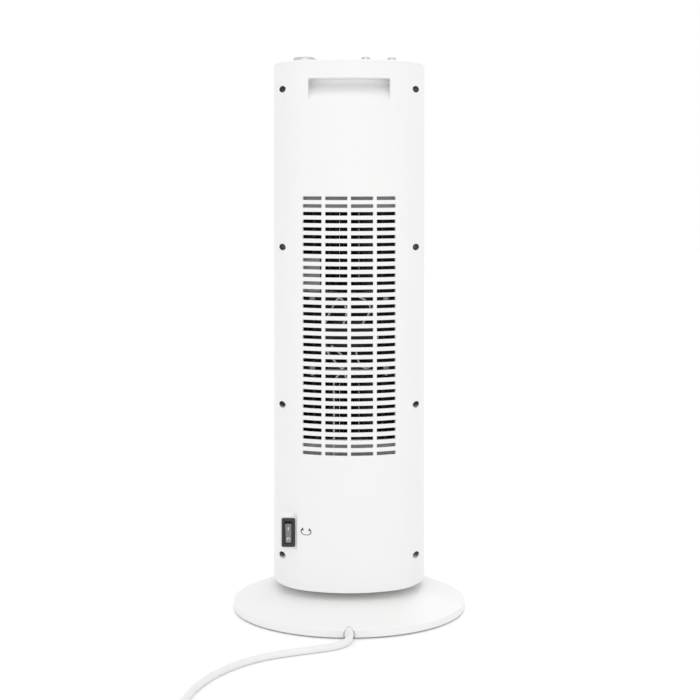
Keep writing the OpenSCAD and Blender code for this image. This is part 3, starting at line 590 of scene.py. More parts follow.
def shell(name, rear):
    """One half of the housing: the outline's points carried up the rows, pushed in at the scoop and out at the
    switch pad, with the slots', the switch's or the outlet's cells left out, then given its wall and rounded
    edges."""
    rows, angles = shell_rows(rear), shell_columns(rear)
    flat = outline_at(angles) / MM
    x, z = np.meshgrid(flat[:, 0], rows)
    y = np.repeat(flat[None, :, 1], len(rows), 0)
    if rear:
        y = y - scoop_depth(x, z) + pad_lift(x, z, y)
    mid_x = (x[:-1, :-1] + x[1:, 1:]) / 2
    mid_z = (z[:-1, :-1] + z[1:, 1:]) / 2
    if rear:
        in_row = np.any([(mid_z > lo) & (mid_z < lo + SLOT_H) for lo in SLOT_LOWS], axis=0)
        in_column = np.any([(mid_x > lo) & (mid_x < hi) for lo, hi in SLOT_COLUMNS], axis=0)
        in_hole = (mid_x > HOLE_X[0]) & (mid_x < HOLE_X[1]) & (mid_z > HOLE_Z[0]) & (mid_z < HOLE_Z[1])
        keep = ~(((in_row & in_column) | in_hole) & (y[:-1, :-1] > 0))
    else:
        in_outlet = (np.abs(mid_x) < OUTLET_HALF) & (mid_z > OUTLET_LO) & (mid_z < OUTLET_HI)
        keep = ~(in_outlet & (y[:-1, :-1] < -60))
    points = np.stack([x, y, z], -1).reshape(-1, 3) * MM
    piece = mesh_piece(name, points, grid_faces(*x.shape, keep=keep), "white_plastic")
    loose = bmesh.new()
    loose.from_mesh(piece.data)
    bmesh.ops.delete(loose, geom=[v for v in loose.verts if not v.link_faces], context="VERTS")
    loose.to_mesh(piece.data)
    loose.free()
    body = piece.modifiers.new("wall", "SOLIDIFY")
    body.thickness, body.offset = sizes().wall, -1.0
    rounded(piece, sizes().slot_round, 2, 50)
    return applied(piece)


def recess_tube(x, z):
    """The screw's deep recess: a stepped tube along Y whose outer end follows the shell's rear face."""
    sides, wall_r, screw_r = 32, 5.4, 1.8
    turn = np.linspace(0, 2 * np.pi, sides, endpoint=False)
    loops = [(RECESS_R, None), (wall_r, None), (wall_r, 12.0),
             (screw_r, 12.0), (screw_r, 14.0), (RECESS_R, 14.0)]
    rings = []
    for radius, depth in loops:
        px = x + radius * np.cos(turn)
        surface = rear_y(np.clip(px, -78, 78) * MM) / MM - 1.3
        y = surface if depth is None else np.full(sides, depth)
        rings.append(np.stack([px, y, z + radius * np.sin(turn)], -1))
    points = np.array(rings).reshape(-1, 3) * MM
    return cleaned(mesh_piece("recess", points, grid_faces(len(loops), sides, True, True), "white_plastic"))


# ---------- shared shapes ----------

def dressed(piece, body, slot_name, *nodes):
    """Puts a finished piece on its body, in place of the named nodes."""
    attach(piece, body)
    if nodes:
        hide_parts(*nodes)


def filleted(corners, radii, count=6):
    """A profile whose corners are arcs: each corner point gives way to a curve from one tangent point to the
    other, blended by the squares of the way along, with a guard point beyond each end."""
    points = []
    for i, (corner, radius) in enumerate(zip(corners, radii)):
        p = np.array(corner, float)
        if not radius or i in (0, len(corners) - 1):
            points.append(tuple(p))
            continue
        a, b = np.array(corners[i - 1], float) - p, np.array(corners[i + 1], float) - p
        la, lb = np.linalg.norm(a), np.linalg.norm(b)
        back = min(radius, 0.45 * la, 0.45 * lb)
        start, stop = p + a / la * back, p + b / lb * back
        points.append(tuple(p + a / la * min(back * 1.08, la * 0.48)))
        for t in np.linspace(0, 1, count):
            points.append(tuple((1 - t) ** 2 * start + 2 * t * (1 - t) * p + t * t * stop))
        points.append(tuple(p + b / lb * min(back * 1.08, lb * 0.48)))
    return points


def oblong(half_x, half_z, corner, count=6):
    """A rounded oblong's points, anticlockwise in x and z."""
    points = []
    for sx, sz, a in ((1, 1, 0), (-1, 1, 90), (-1, -1, 180), (1, -1, 270)):
        points += arc(sx * (half_x - corner), sz * (half_z - corner), corner, a, a + 90, count)
    return np.array(points)


def ringed(name, loops, finish, centre):
    """A piece swept through rounded oblongs (half width, half height, corner, depth), the last joined to the
    first. Depth runs along Y."""
    rings = []
    for half_x, half_z, corner, y in loops:
        flat = oblong(half_x, half_z, corner)
        rings.append(np.stack([flat[:, 0], np.full(len(flat), y), flat[:, 1]], -1))
    points = (np.array(rings).reshape(-1, 3) + np.array(centre)) * MM
    return cleaned(mesh_piece(name, points, grid_faces(len(rings), len(rings[0]), True, True), finish))


def y_bar(name, flat, y0, y1):
    """An (x, z) outline carried along Y from y0 to y1, with both ends closed, in millimetres."""
    flat = np.array(flat)
    rings = [np.insert(flat, 1, y, axis=1) for y in (y0, y1)]
    return cleaned(mesh_piece(name, np.vstack(rings) * MM, capped_faces(2, len(flat)), "white_plastic"))


def round_bar(x, z, radius, y0, y1, sides=40):
    """A closed round bar along Y, in millimetres."""
    turn = np.linspace(0, 2 * np.pi, sides, endpoint=False)
    return y_bar("bar", np.stack([x + radius * np.cos(turn), z + radius * np.sin(turn)], -1), y0, y1)


def x_bar(name, flat, x0, x1, finish):
    """A (y, z) outline carried along X from x0 to x1, with both ends closed, in millimetres."""
    flat = np.array(flat)
    rings = [np.insert(flat, 0, x, axis=1) for x in (x0, x1)]
    return cleaned(mesh_piece(name, np.vstack(rings) * MM, capped_faces(2, len(flat)), finish))


# ---------- cord ----------

ROUTE = np.array([(0, 137, 5.4), (0, 141, 5), (2, 146, 4.4), (6, 153, 3.8), (13, 160, 3.5), (23, 166, 3.5),
                  (36, 172, 3.5), (52, 179, 3.5), (70, 188, 3.5), (88, 200, 3.5), (104, 216, 3.5),
                  (118, 236, 3.5), (130, 259, 3.5), (139, 285, 3.5), (145, 313, 3.5), (148, 341, 3.5),
                  (149, 369, 3.5), (150, 397, 3.5)]) * MM
TAIL = np.array([(93, 474.2, 10.6), (85, 475, 11.4), (76, 476.4, 13), (66, 477, 14)]) * MM
CORD_D = 7 * MM


def coil_points():
    """The coil: a flat spiral inward on the floor, a rise of one thickness over a quarter turn, and a spiral
    outward on top of it. Radius and height are straight-line functions of the turns made."""
    middle = (COIL_LO + COIL_HI) / 2
    stages = [0, 2.5, 2.75, 5.25]
    turns = np.linspace(0, stages[-1], 421)
    outer = (COIL_HI[0] - COIL_LO[0]) / 2 - CORD_D / 2
    inner = outer - 18 * MM
    low, high = CORD_D / 2, 1.5 * CORD_D + 0.15 * MM
    radius = np.interp(turns, stages, [outer, inner, inner, outer])
    height = np.interp(turns, stages, [low, low, high, high])
    angle = 2 * np.pi * turns
    return np.stack([middle[0] + radius * np.cos(angle), middle[1] + radius * np.sin(angle), height], -1)


def resampled(points, step):
    """Points at even steps along the line, on a smooth curve through the given ones: each coordinate is a
    Catmull-Rom cubic between its neighbours."""
    p = np.vstack([2 * points[0] - points[1], points, 2 * points[-1] - points[-2]])
    t = np.linspace(0, 1, 12, endpoint=False)[:, None, None]
    a, b, c, d = p[:-3], p[1:-2], p[2:-1], p[3:]
    square, cube = 2 * a - 5 * b + 4 * c - d, 3 * b - a - 3 * c + d
    line = 0.5 * (2 * b + (c - a) * t + square * t ** 2 + cube * t ** 3)
    line = np.vstack([line.transpose(1, 0, 2).reshape(-1, 3), points[-1]])
    along = np.concatenate([[0], np.cumsum(np.linalg.norm(np.diff(line, axis=0), axis=1))])
    even = np.linspace(0, along[-1], int(along[-1] / step) + 1)
    return np.stack([np.interp(even, along, line[:, i]) for i in range(3)], -1), float(along[-1])


def make_cord():
    """The mains cord: a round curve along the route, the coil and the tail, in even short steps."""
    line, length = resampled(np.vstack([ROUTE, coil_points(), TAIL]), 3.2 * MM)
    curve = bpy.data.curves.new("mains_lead", "CURVE")
    curve.dimensions, curve.use_fill_caps = "3D", True
    curve.bevel_depth, curve.bevel_resolution = CORD_D / 2, 6
    spline = curve.splines.new("POLY")
    spline.points.add(len(line) - 1)
    spline.points.foreach_set("co", np.hstack([line, np.ones((len(line), 1))]).ravel())
    spline.use_smooth = True
    curve.materials.append(finish_of("cord_white"))
    lead = bpy.data.objects.new("mains_lead", curve)
    bpy.context.scene.collection.objects.link(lead)
    return lead, length


def make_boot():
    """Strain relief: a tapering sleeve with five soft ribs outside the base."""
    profile = [(0, 0.105), (0.0052, 0.105), (0.0052, 0.1092), (0.0042, 0.1095), (0.0042, 0.1225)]
    for i in range(5):
        y = 0.123 + i * 0.0027
        r = 0.0046 - i * 0.00015
        profile += [(r - 0.0005, y), (r, y + 0.0004), (r, y + 0.0014), (r - 0.0005, y + 0.0018)]
    profile += [(0.0038, 0.1372), (0, 0.1372)]
    boot = revolved("cord_boot", profile, "cord_white", sides=40, axis="Y")
    boot.data.transform(Matrix.Translation((0, 0, 5.4 * MM)))
    return sharpen(boot, 50)


def make_plug():
    """Two-pin plug: sections along X whose halves are powers of the cosine and sine, that swell from the cord
    to a flat-sided body with grip grooves."""
    tail_x, middle, lift = 66.0, ((PLUG_LO + PLUG_HI) / 2 / MM)[1], 14.0
    shape = [(0, 4.2, 4.2), (3, 4.6, 4.6), (3.3, 5.6, 5.6), (5, 5.9, 5.9), (5.3, 5.0, 5.0), (6.3, 5.2, 5.2),
             (6.6, 6.4, 6.4), (8.3, 6.9, 6.8), (8.6, 6.0, 6.0), (9.6, 6.4, 6.2), (12, 10.5, 9.2),
             (15, 14.6, 11.6), (18, 16.6, 12.6), (20, 17.2, 12.7), (20.5, 16.6, 12.3), (21.5, 16.6, 12.3),
             (22, 17.4, 12.8), (24, 17.6, 12.9), (24.5, 17.0, 12.4), (25.5, 17.0, 12.4), (26, 17.8, 12.9),
             (33, 18, 13), (35.2, 17.8, 12.8), (36, 17.0, 12.0)]
    sides = 56
    turn = np.linspace(0, 2 * np.pi, sides, endpoint=False)
    rings = []
    for back, half_y, half_z in shape:
        power = 1.0 if back < 10 else 0.72
        y = half_y * np.sign(np.cos(turn)) * np.abs(np.cos(turn)) ** power
        z = half_z * np.sign(np.sin(turn)) * np.abs(np.sin(turn)) ** power
        rings.append(np.stack([np.full(sides, tail_x - back), middle + y, lift + z], -1))
    points = np.array(rings).reshape(-1, 3) * MM
    body = cleaned(mesh_piece("plug_grip", points, capped_faces(len(rings), sides), "cord_white"))
    pin_long, pin_apart = 19.0, 19.0
    tip = tail_x - shape[-1][0] - pin_long
    profile = [(0, 0), (0.0012, 0), (0.002, 0.0005), (0.0024, 0.0016), (0.0024, 0.0194), (0, 0.0194)]
    pins = []
    for side in (-pin_apart / 2, pin_apart / 2):
        place = (tip * MM, (middle + side) * MM, lift * MM)
        pins.append(revolved("pin", profile, "chrome_trim", place, 32, axis="X"))
    return sharpen(body, 50), sharpen(joined("plug_contacts", pins), 50)


# ---------- housing ----------

def make_rear():
    """The rear shell with eight round holes for its screws, and the recess tubes behind them."""
    shell_piece = shell("rear_shell", True)
    places = [(s * SCREW_X, z) for s in (-1, 1) for z in SCREW_ZS]
    cut(shell_piece, joined("bars", [round_bar(x, z, RECESS_R, 15, 90) for x, z in places]))
    tubes = joined("screw_recesses", [recess_tube(x, z) for x, z in places])
    return sharpen(shell_piece, 42), sharpen(tubes, 40)


def make_top():
    """The top panel: the outline stepped in by a hair, with a quarter-circle edge and a flat top."""
    r, top, foot = min(sizes().rim_round, 3.3 * MM), PANEL_HI[2], CAP_Z + 0.02 * MM
    step_in, deep, sides = 0.8 * MM, 45 * MM, 288
    rows = [(deep, foot), (2 * step_in, foot), (step_in, foot + 0.01 * MM)]
    for a in np.linspace(0, math.pi / 2, 9):
        rows.append((step_in + r * (1 - math.cos(a)), top - r * (1 - math.sin(a))))
    rows += [(step_in + r + 0.4 * MM, top), (20 * MM, top), (deep, top)]
    angles = np.linspace(0, 2 * np.pi, sides, endpoint=False)
    rings = [np.column_stack([outline_at(angles, inset), np.full(sides, z)]) for inset, z in rows]
    points = np.vstack(rings + [[[0, 0, foot]], [[0, 0, top]]])
    count = sides * len(rows)
    loop = np.arange(sides)
    low = np.stack([np.roll(loop, -1), loop, np.full(sides, count)], -1).tolist()
    high = np.stack([loop, np.roll(loop, -1), np.full(sides, count + 1)], -1)
    high[:, :2] += count - sides
    faces = grid_faces(len(rows), sides, False, True).tolist() + low + high.tolist()
    return sharpen(cleaned(mesh_piece("top_plate", points, faces, "white_plastic")), 50)


def arch(half_x, foot, top):
    """An arched opening's (x, z) outline: straight sides under a half circle, in millimetres."""
    return [(-half_x, foot), (half_x, foot)] + arc(0, top - half_x, half_x, 0, 180, 25)


def make_base():
    """The round base: a low rim, a long cone and a flat hub with soft corners, and an arch for the cord."""
    rim, hub = BASE_HI[0], BASE_HI[2]
    outer = [(122.5, 1.2), (125, 1.2), (125, 8.6), (123.8, 9.0), (76, 29), (12.1, 29), (12.1, 26.5),
             (75.4, 26.5), (122.3, 6.6), (122.5, 1.2)]
    scale = [(r * rim / 125, z * hub / 29) for r, z in outer]
    profile = filleted(scale, [0, 0.7, 1.6, 0.6, 5, 0.3, 0, 2, 0, 0])
    cover = revolved("base_shell", profile, "white_plastic", sides=256)
    cut(cover, y_bar("arch", arch(5.75, -2.0, 11.0), 104.0, 131.0))
    return sharpen(cover, 40)


def make_bush():
    """A white bush that fills the arch round the cord's boot, set in a little from the rim."""
    bush = y_bar("cord_bush", arch(5.6, 1.4, 10.8), 119.0, 123.2)
    rounded(bush, 0.5 * MM, 2)
    return sharpen(applied(bush), 40)


def slat(z, height, depth_in, depth_out, half_x):
    """One curved bar across the outlet: a rounded cross-section carried along the front outline."""
    count, sides = 31, 12
    xs = np.linspace(-half_x, half_x, count)
    front = -rear_y(xs * MM) / MM
    turn = np.linspace(0, 2 * np.pi, sides, endpoint=False) + math.pi / 12
    mid, reach_y = (depth_in + depth_out) / 2, (depth_in - depth_out) / 2
    y = mid + reach_y * np.sign(np.cos(turn)) * np.abs(np.cos(turn)) ** 0.45
    h = height / 2 * np.sign(np.sin(turn)) * np.abs(np.sin(turn)) ** 0.6
    across, up = np.repeat(xs[:, None], sides, 1), np.repeat((z + h)[None], count, 0)
    points = np.stack([across, front[:, None] + y, up], -1).reshape(-1, 3) * MM
    return cleaned(mesh_piece("slat", points, capped_faces(count, sides), "dark_plastic"))


def make_outlet():
    """The outlet grille: thin slats at one pitch between a thicker top and bottom bar, with three uprights."""
    lo, hi = (np.array(c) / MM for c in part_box("outlet_grille"))
    half, count, deep, edge = hi[0], 30, 6.0, 3.0
    pitch = (hi[2] - lo[2] - 2 * edge) / count
    slats = [slat(lo[2] + edge + i * pitch, 1.8, deep, 0.8, half - 2.5) for i in range(1, count)]
    slats += [slat(z, edge, deep, 0.6, half) for z in (lo[2] + edge / 2, hi[2] - edge / 2)]
    for x, wide in ((-half + edge / 2, edge), (0.0, 2.4), (half - edge / 2, edge)):
        face = -rear_y(x * MM) / MM
        bar = rounded_box("upright", np.array((x - wide / 2, face + 0.7, lo[2])) * MM,
                          np.array((x + wide / 2, face + deep, hi[2])) * MM, "dark_plastic", 0.4 * MM)
        slats.append(bar)
    return sharpen(joined("outlet_louvres", slats), 45)


# ---------- seen through the intake grille ----------

# The leads' routes, in millimetres
WIRES = [
    [(28, 57, 304), (24, 58.5, 315), (18, 59.5, 328), (11, 60, 338.5), (5, 60, 333), (3, 59, 322),
     (6, 57, 311)],
    [(-10, 58.5, 340), (-17, 59.5, 336), (-22, 60, 329), (-20.5, 60, 322), (-16, 59.5, 315), (-12, 57, 307)],
    [(-30, 56, 301), (-29, 59, 291), (-26, 60, 276), (-24, 60.5, 268), (-15, 60.5, 266), (-9, 60, 274),
     (-7, 58, 285)],
    [(26, 57, 294), (23, 59, 283), (15, 60, 272), (9, 60.5, 266), (5, 60, 259), (1, 58.5, 252)],
]


def tube(points, radius, sides=14):
    """A round tube along a smooth line: rings square to the line, turned from the two directions across it."""
    line, _ = resampled(np.array(points, float), 1.5)
    along = np.gradient(line, axis=0)
    along /= np.linalg.norm(along, axis=1)[:, None]
    across = np.cross(along, np.array([0.0, 1.0, 0.0]))
    across /= np.linalg.norm(across, axis=1)[:, None]
    up = np.cross(across, along)
    turn = np.linspace(0, 2 * np.pi, sides, endpoint=False)[None, :, None]
    rings = line[:, None] + radius * (np.cos(turn) * across[:, None] + np.sin(turn) * up[:, None])
    faces = capped_faces(len(line), sides)
    return cleaned(mesh_piece("tube", rings.reshape(-1, 3) * MM, faces, "cord_white"))


def make_wires():
    """The motor's leads, looped over its rear face, and two pegs beside them."""
    made = [tube(points, 1.1) for points in WIRES]
    profile = [(0, 0), (2.4, 0), (2.4, 4.6), (1.9, 5.4), (0, 5.4)]
    for side in (-38.5, 38.5):
        peg = revolved("peg", [(r * MM, h * MM) for r, h in profile], "cord_white", sides=28, axis="Y")
        peg.data.transform(Matrix.Translation(Vector((side, 54.5, 259.6)) * MM))
        made.append(peg)
    return sharpen(joined("motor_leads", made), 40)


def make_bracket():
    """A light plate behind the upper rows on one side, on a leg that reaches in to the scroll."""
    plate = rounded_box("plate", np.array((30.5, 55, 345)) * MM, np.array((49.5, 56.5, 383)) * MM,
                        "duct_plastic", 0.5 * MM)
    leg = rounded_box("leg", np.array((37.4, 26, 350)) * MM, np.array((39, 56, 378)) * MM,
                      "duct_plastic", 0.3 * MM)
    return sharpen(joined("side_bracket", [plate, leg]), 40)


# ---------- controls on top ----------

def make_knob():
    """A plated knob: a rounded skirt with fine grips whose depth fades towards its crown and foot."""
    centre = (KNOB_LO + KNOB_HI) / 2
    lo, hi = KNOB_LO[2], KNOB_HI[2]
    r = (KNOB_HI[0] - KNOB_LO[0]) / 2
    profile = [(0, lo), (r - 0.6 * MM, lo), (r - 0.15 * MM, lo + 0.3 * MM), (r, lo + 0.9 * MM)]
    tall = hi - lo
    profile += [(r, lo + tall * h) for h in (0.16, 0.34, 0.56, 0.68, 0.74)]
    profile += [(r - 0.25 * MM, hi - 1.4 * MM), (r - 0.8 * MM, hi - 0.6 * MM), (r - 1.6 * MM, hi - 0.15 * MM),
                (r - 2.6 * MM, hi), (r - 3.2 * MM, hi), (r - 3.5 * MM, hi - 0.25 * MM), (0, hi - 0.25 * MM)]
    grips = sizes().grips

    def ripple(angle, height):
        above = softstep(height, lo + 0.9 * MM, lo + 1.8 * MM)
        side = above * (1 - softstep(height, lo + 0.66 * tall, lo + 0.78 * tall))
        return -0.22 * MM * side * (0.5 + 0.5 * np.cos(grips * angle)) ** 2

    knob = revolved("knob_cap", profile, "chrome_trim", (centre[0], centre[1], 0), 288, ripple)
    line = rounded_box("pointer", (centre[0] - 0.6 * MM, centre[1] - r + 3.4 * MM, hi - 0.5 * MM),
                       (centre[0] + 0.6 * MM, centre[1] - 3 * MM, hi - 0.1 * MM), "mark_ink", 0.15 * MM)
    return sharpen(knob, 40), line


def make_button(node, bars):
    """A plated button whose crown is a flattened dome, with raised bars for its heat setting."""
    lo, hi = (np.array(c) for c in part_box(node))
    c = (lo + hi) / 2
    top, r, crown, tall, pitch = hi[2] - 0.1 * MM, 4.9 * MM, 1.6 * MM, 11.5 * MM, 1.5 * MM
    profile = [(0, top - tall), (r, top - tall)]
    for a in np.linspace(0, 1.5, 12):
        profile.append((r * math.cos(a) ** 0.35, top - crown + crown * math.sin(a)))
    profile.append((0, top))
    made = [sharpen(revolved("button", profile, "chrome_trim", (c[0], c[1], 0), 64), 40)]
    for i in range(bars):
        x = c[0] + (i - (bars - 1) / 2) * pitch
        made.append(rounded_box("bar", (x - 0.25 * MM, c[1] - 1.5 * MM, top - 0.4 * MM),
                                (x + 0.25 * MM, c[1] + 1.5 * MM, top + 0.08 * MM), "chrome_trim", 0.1 * MM))
    return joined(node + "_cap", made)


def make_bezels():
    """A plated ring round each button, with a softly rounded top edge."""
    lo, hi = (np.array(c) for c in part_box("button_bezels"))
    r, bore, top = 6 * MM, 5.05 * MM, hi[2]
    profile = [(bore, lo[2]), (r, lo[2]), (r, top - 1.2 * MM), (r - 0.1 * MM, top - 0.5 * MM),
               (r - 0.4 * MM, top - 0.06 * MM), (r - 0.6 * MM, top), (bore + 0.1 * MM, top - 0.12 * MM),
               (bore, top - 0.4 * MM), (bore, lo[2])]
    rings = []
    for node in ("low_heat_button", "high_heat_button"):
        c = (np.array(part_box(node)[0]) + np.array(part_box(node)[1])) / 2
        rings.append(revolved("ring", profile, "chrome_trim", (c[0], c[1], 0), 72))
    return sharpen(joined("button_rings", rings), 50)


def make_lamp():
    """The pilot lamp's lens: a round post under a low elliptical dome."""
    lo, hi = (np.array(c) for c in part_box("pilot_lamp"))
    c = (lo + hi) / 2
    dome = [(2.7 * MM * math.cos(a), hi[2] - MM + MM * math.sin(a)) for a in np.linspace(0, 1.5, 10)]
    profile = [(0, lo[2]), (3 * MM, lo[2]), (3 * MM, hi[2] - 1.1 * MM)] + dome + [(0, hi[2])]
    return sharpen(revolved("lamp_lens", profile, "lamp_amber", (c[0], c[1], 0), 48), 50)


# ---------- switch ----------

def make_bezel():
    """The switch's flange and well: rounded oblongs that go out, over the lip and down inside."""
    c = (SWITCH_LO + SWITCH_HI) / 2 / MM
    y, rear = SWITCH_HI[1] / MM, SWITCH_LO[1] / MM
    half_x, _, half_z = (SWITCH_HI - SWITCH_LO) / 2 / MM
    well_x, well_z, body_x, body_z = 3.7, 11.4, 5.75, 13.15
    loops = [(half_x, half_z, 1.2, y - 2), (half_x, half_z, 1.2, y - 0.7),
             (half_x - 0.2, half_z - 0.2, 1.1, y - 0.3), (half_x - 0.6, half_z - 0.6, 1.0, y),
             (well_x + 0.9, well_z + 0.8, 0.9, y), (well_x + 0.2, well_z + 0.2, 0.7, y - 0.2),
             (well_x, well_z, 0.5, y - 0.8), (well_x, well_z, 0.5, y - 10),
             (body_x, body_z, 0.5, y - 10), (body_x, body_z, 0.5, y - 2)]
    frame_ring = ringed("switch_frame", loops, "dark_plastic", (c[0], 0, c[2]))
    back = rounded_box("back", np.array((c[0] - body_x, rear + 9, c[2] - body_z)) * MM,
                       np.array((c[0] + body_x, y - 9.8, c[2] + body_z)) * MM, "dark_plastic", 0.4 * MM)
    tabs = []
    for z in (-8, 0, 8):
        tabs.append(rounded_box("tab", np.array((c[0] - 2.4, rear, c[2] + z - 0.4)) * MM,
                                np.array((c[0] + 2.4, rear + 9.5, c[2] + z + 0.4)) * MM, "brass", 0.15 * MM))
    return sharpen(joined("switch_bezel", [frame_ring, back]), 45), joined("switch_tabs", tabs)


def make_rocker():
    """The rocker, its face a shallow hollow that rises as a power of the height, tilted about its pivot with
    the lower half pressed in, and its two marks standing a hair proud of the face."""
    c = (SWITCH_LO + SWITCH_HI) / 2 / MM
    end, half_x, pivot_y, tilt = 10.4, 3.3, 57.9, -10
    outline = [(4.2 + 1.4 * (abs(z) / 11) ** 1.7, z) for z in np.linspace(-end, end, 23)]
    outline += [(2.4, end), (-2, 7.3), (-2, -7.3), (2.4, -end)]
    body = x_bar("rocker_body", outline, -half_x, half_x, "grey_plastic")
    rounded(body, 0.55 * MM, 3, 45)
    applied(body)
    bar = rounded_box("on_mark", np.array((-0.45, 4.0, 3.6)) * MM, np.array((0.45, 4.86, 8.2)) * MM,
                      "mark_white", 0.1 * MM)
    section = np.array([(1.25, 4.3), (1.95, 4.3), (1.95, 4.97), (1.25, 4.97), (1.25, 4.3)]) * MM
    ring = revolved("off_mark", section, "mark_white", (0, 0, -6.4 * MM), 48, axis="Y")
    turned = Matrix.Rotation(math.radians(tilt), 4, "X")
    place = Matrix.Translation(Vector((c[0], pivot_y, c[2])) * MM) @ turned
    for piece in (body, bar, ring):
        piece.data.transform(place)
        piece.data.update()
    return sharpen(body, 45), joined("rocker_marks", [bar, ring])


def make_icon():
    """Turning sign: an open oval band and two arrow heads, laid on the rear face a hair proud of it."""
    cx, cz = 45.0, (SWITCH_LO[2] + SWITCH_HI[2]) / 2 / MM + 2.6
    proud, sunk, outer, inner, squash = 0.14, -0.2, 5.7, 4.7, 0.62

    def lifted(x, z, out):
        return np.stack([x, rear_y(x * MM) / MM + out, z], -1)

    a = np.radians(np.linspace(145, 395, 61))
    corners = [(outer, proud), (outer, sunk), (inner, sunk), (inner, proud)]
    band = np.stack([lifted(cx + r * np.cos(a), cz + squash * r * np.sin(a), out) for r, out in corners], 1)
    faces = capped_faces(len(a), len(corners))
    made = [cleaned(mesh_piece("band", band.reshape(-1, 3) * MM, faces, "mark_ink"))]
    for s in (-1, 1):
        x = cx + s * np.array([5.8, 2.4, 3.3])
        z = cz + np.array([1.4, 1.2, 4.4])
        points = np.vstack([lifted(x, z, proud), lifted(x, z, sunk)])
        tris = [[0, 1, 2], [3, 4, 5], [0, 1, 4, 3], [1, 2, 5, 4], [2, 0, 3, 5]]
        made.append(cleaned(mesh_piece("arrow", points * MM, tris, "mark_ink")))
    return sharpen(joined("turning_sign", made), 40)


# ---------- finishes of the pieces shown as built ----------

NODE_FINISH = {
    "white_plastic": ["tower_floor"],
    "steel": ["base_plate", "base_screws", "pivot_post", "pivot_retaining_ring", "motor_brackets",
              "motor_shaft", "thermostat_spindle", "oscillation_motor"],
    "laminated_steel": ["motor_stator"],
    "winding_tape": ["motor_coil"],
    "rubber": ["rubber_feet"],
    "ivory_plastic": ["swivel_wear_ring", "gear_sector", "oscillation_pinion", "cord_clamp", "tip_plunger",
                      "thermal_cutout", "thermostat_body", "terminal_block", "motor_screws"],
    "cord_white": ["base_lead", "wire_harness"],
    "dark_plastic": ["tip_switch_body", "push_switches", "blower_scroll", "blower_cutoff",
                     "upper_blower_wheel", "lower_blower_wheel", "heater_frame"],
    "duct_plastic": ["duct_top_plate", "duct_bottom_plate"],
    "black_screw": ["housing_screws"],
    "aluminium_fins": ["upper_heating_element", "lower_heating_element"],
    "brass": ["heater_terminals"],
}


# ---------- stage ----------

CAMERA_PLACE, CAMERA_LENS, CAMERA_SHIFT = (0.0, 1.762, 0.478), 83.52, (0.0012, -0.2642)
FLOOR_HALF = 7.0


def soft_light(name, place, target, size, watts):
    """An oblong area light that faces its target."""
    lamp = bpy.data.lights.new(name, "AREA")
    lamp.shape, lamp.size, lamp.size_y, lamp.energy = "RECTANGLE", size[0], size[1], watts
    light = bpy.data.objects.new(name, lamp)
    bpy.context.scene.collection.objects.link(light)
    light.location = place
    light.rotation_euler = (Vector(target) - Vector(place)).to_track_quat("-Z", "Y").to_euler()
    return light


def make_stage():
    """An even white room: a wide pale floor, three soft lights and a level camera behind the heater."""
    scene = bpy.context.scene
    world = bpy.data.worlds.new("studio")
    scene.world = world
    world.use_nodes = True
    backdrop = world.node_tree.nodes["Background"]
    backdrop.inputs["Color"].default_value = (1.0, 1.0, 1.0, 1.0)
    backdrop.inputs["Strength"].default_value = 1.005
    scene.view_settings.view_transform = "Standard"
    corners = [(sx * FLOOR_HALF, sy * FLOOR_HALF, 0) for sx, sy in ((-1, -1), (1, -1), (1, 1), (-1, 1))]
    floor = mesh_piece("floor", corners, [(0, 1, 2, 3)], "white_plastic")
    paint = Paint("studio_floor", Roughness=0.3, Emission_Strength=0.07)
    shade = paint.noise(3.0, 2.0)
    paint.feed("Base Color", paint.blend(shade, (0.94, 0.94, 0.94), (0.96, 0.96, 0.96)))
    paint.feed("Emission Color", paint.blend(shade, (0.98, 0.98, 0.98), (1.0, 1.0, 1.0)))
    floor.data.materials.clear()
    floor.data.materials.append(paint.material)
    lights = [soft_light("rear_low", (-0.15, 3.3, 0.7), (0, 0, 0.1), (3.0, 0.8), 7),
              soft_light("overhead", (0.0, 1.2, 2.9), (0, 0.12, 0), (1.8, 1.2), 7),
              soft_light("front_fill", (-1.3, -2.9, 2.2), (0, 0, 0.3), (2.0, 1.5), 8)]
    eye = bpy.data.cameras.new("camera")
    eye.sensor_width, eye.lens = 36.0, CAMERA_LENS
    eye.shift_x, eye.shift_y = CAMERA_SHIFT
    eye.clip_start, eye.clip_end = 0.05, 40
    camera = bpy.data.objects.new("camera", eye)
    scene.collection.objects.link(camera)
    camera.location = CAMERA_PLACE
    camera.rotation_euler = (math.radians(90.0), 0.0, math.radians(180.0))
    scene.camera = camera


# ---------- operators ----------

class HEATER_OT_stage(bpy.types.Operator):
    """Sets out the floor, the lights and the camera"""
    bl_idname = "heater.stage"
    bl_label = "Stage"

    def execute(self, context):
        make_stage()
        return {"FINISHED"}


class HEATER_OT_cords(bpy.types.Operator):
    """Lays the mains cord with its boot, coil and plug"""
    bl_idname = "heater.cords"
    bl_label = "Cord and plug"

    def execute(self, context):
        lead, length = make_cord()
        dressed(lead, "base", "cord_white", "mains_cord", "cord_coil")
        dressed(make_boot(), "base", "cord_white", "cord_strain_relief")
        grip, pins = make_plug()
        dressed(grip, "base", "cord_white", "plug_body")
        dressed(pins, "base", "chrome_trim", "plug_pins")
        return {"FINISHED"}


class HEATER_OT_housing(bpy.types.Operator):
    """Builds the two shells, the top plate and the outlet"""
    bl_idname = "heater.housing"
    bl_label = "Housing"

    def execute(self, context):
        rear, tubes = make_rear()
        dressed(rear, "tower", "white_plastic", "rear_housing")
        dressed(tubes, "tower", "white_plastic")
        front = sharpen(shell("front_shell", False), 42)
        dressed(front, "tower", "white_plastic", "front_housing")
        dressed(make_top(), "tower", "white_plastic", "top_panel")
        dressed(make_outlet(), "tower", "dark_plastic", "outlet_grille")
        dressed(make_wires(), "tower", "cord_white")
        dressed(make_bracket(), "tower", "duct_plastic")
        return {"FINISHED"}


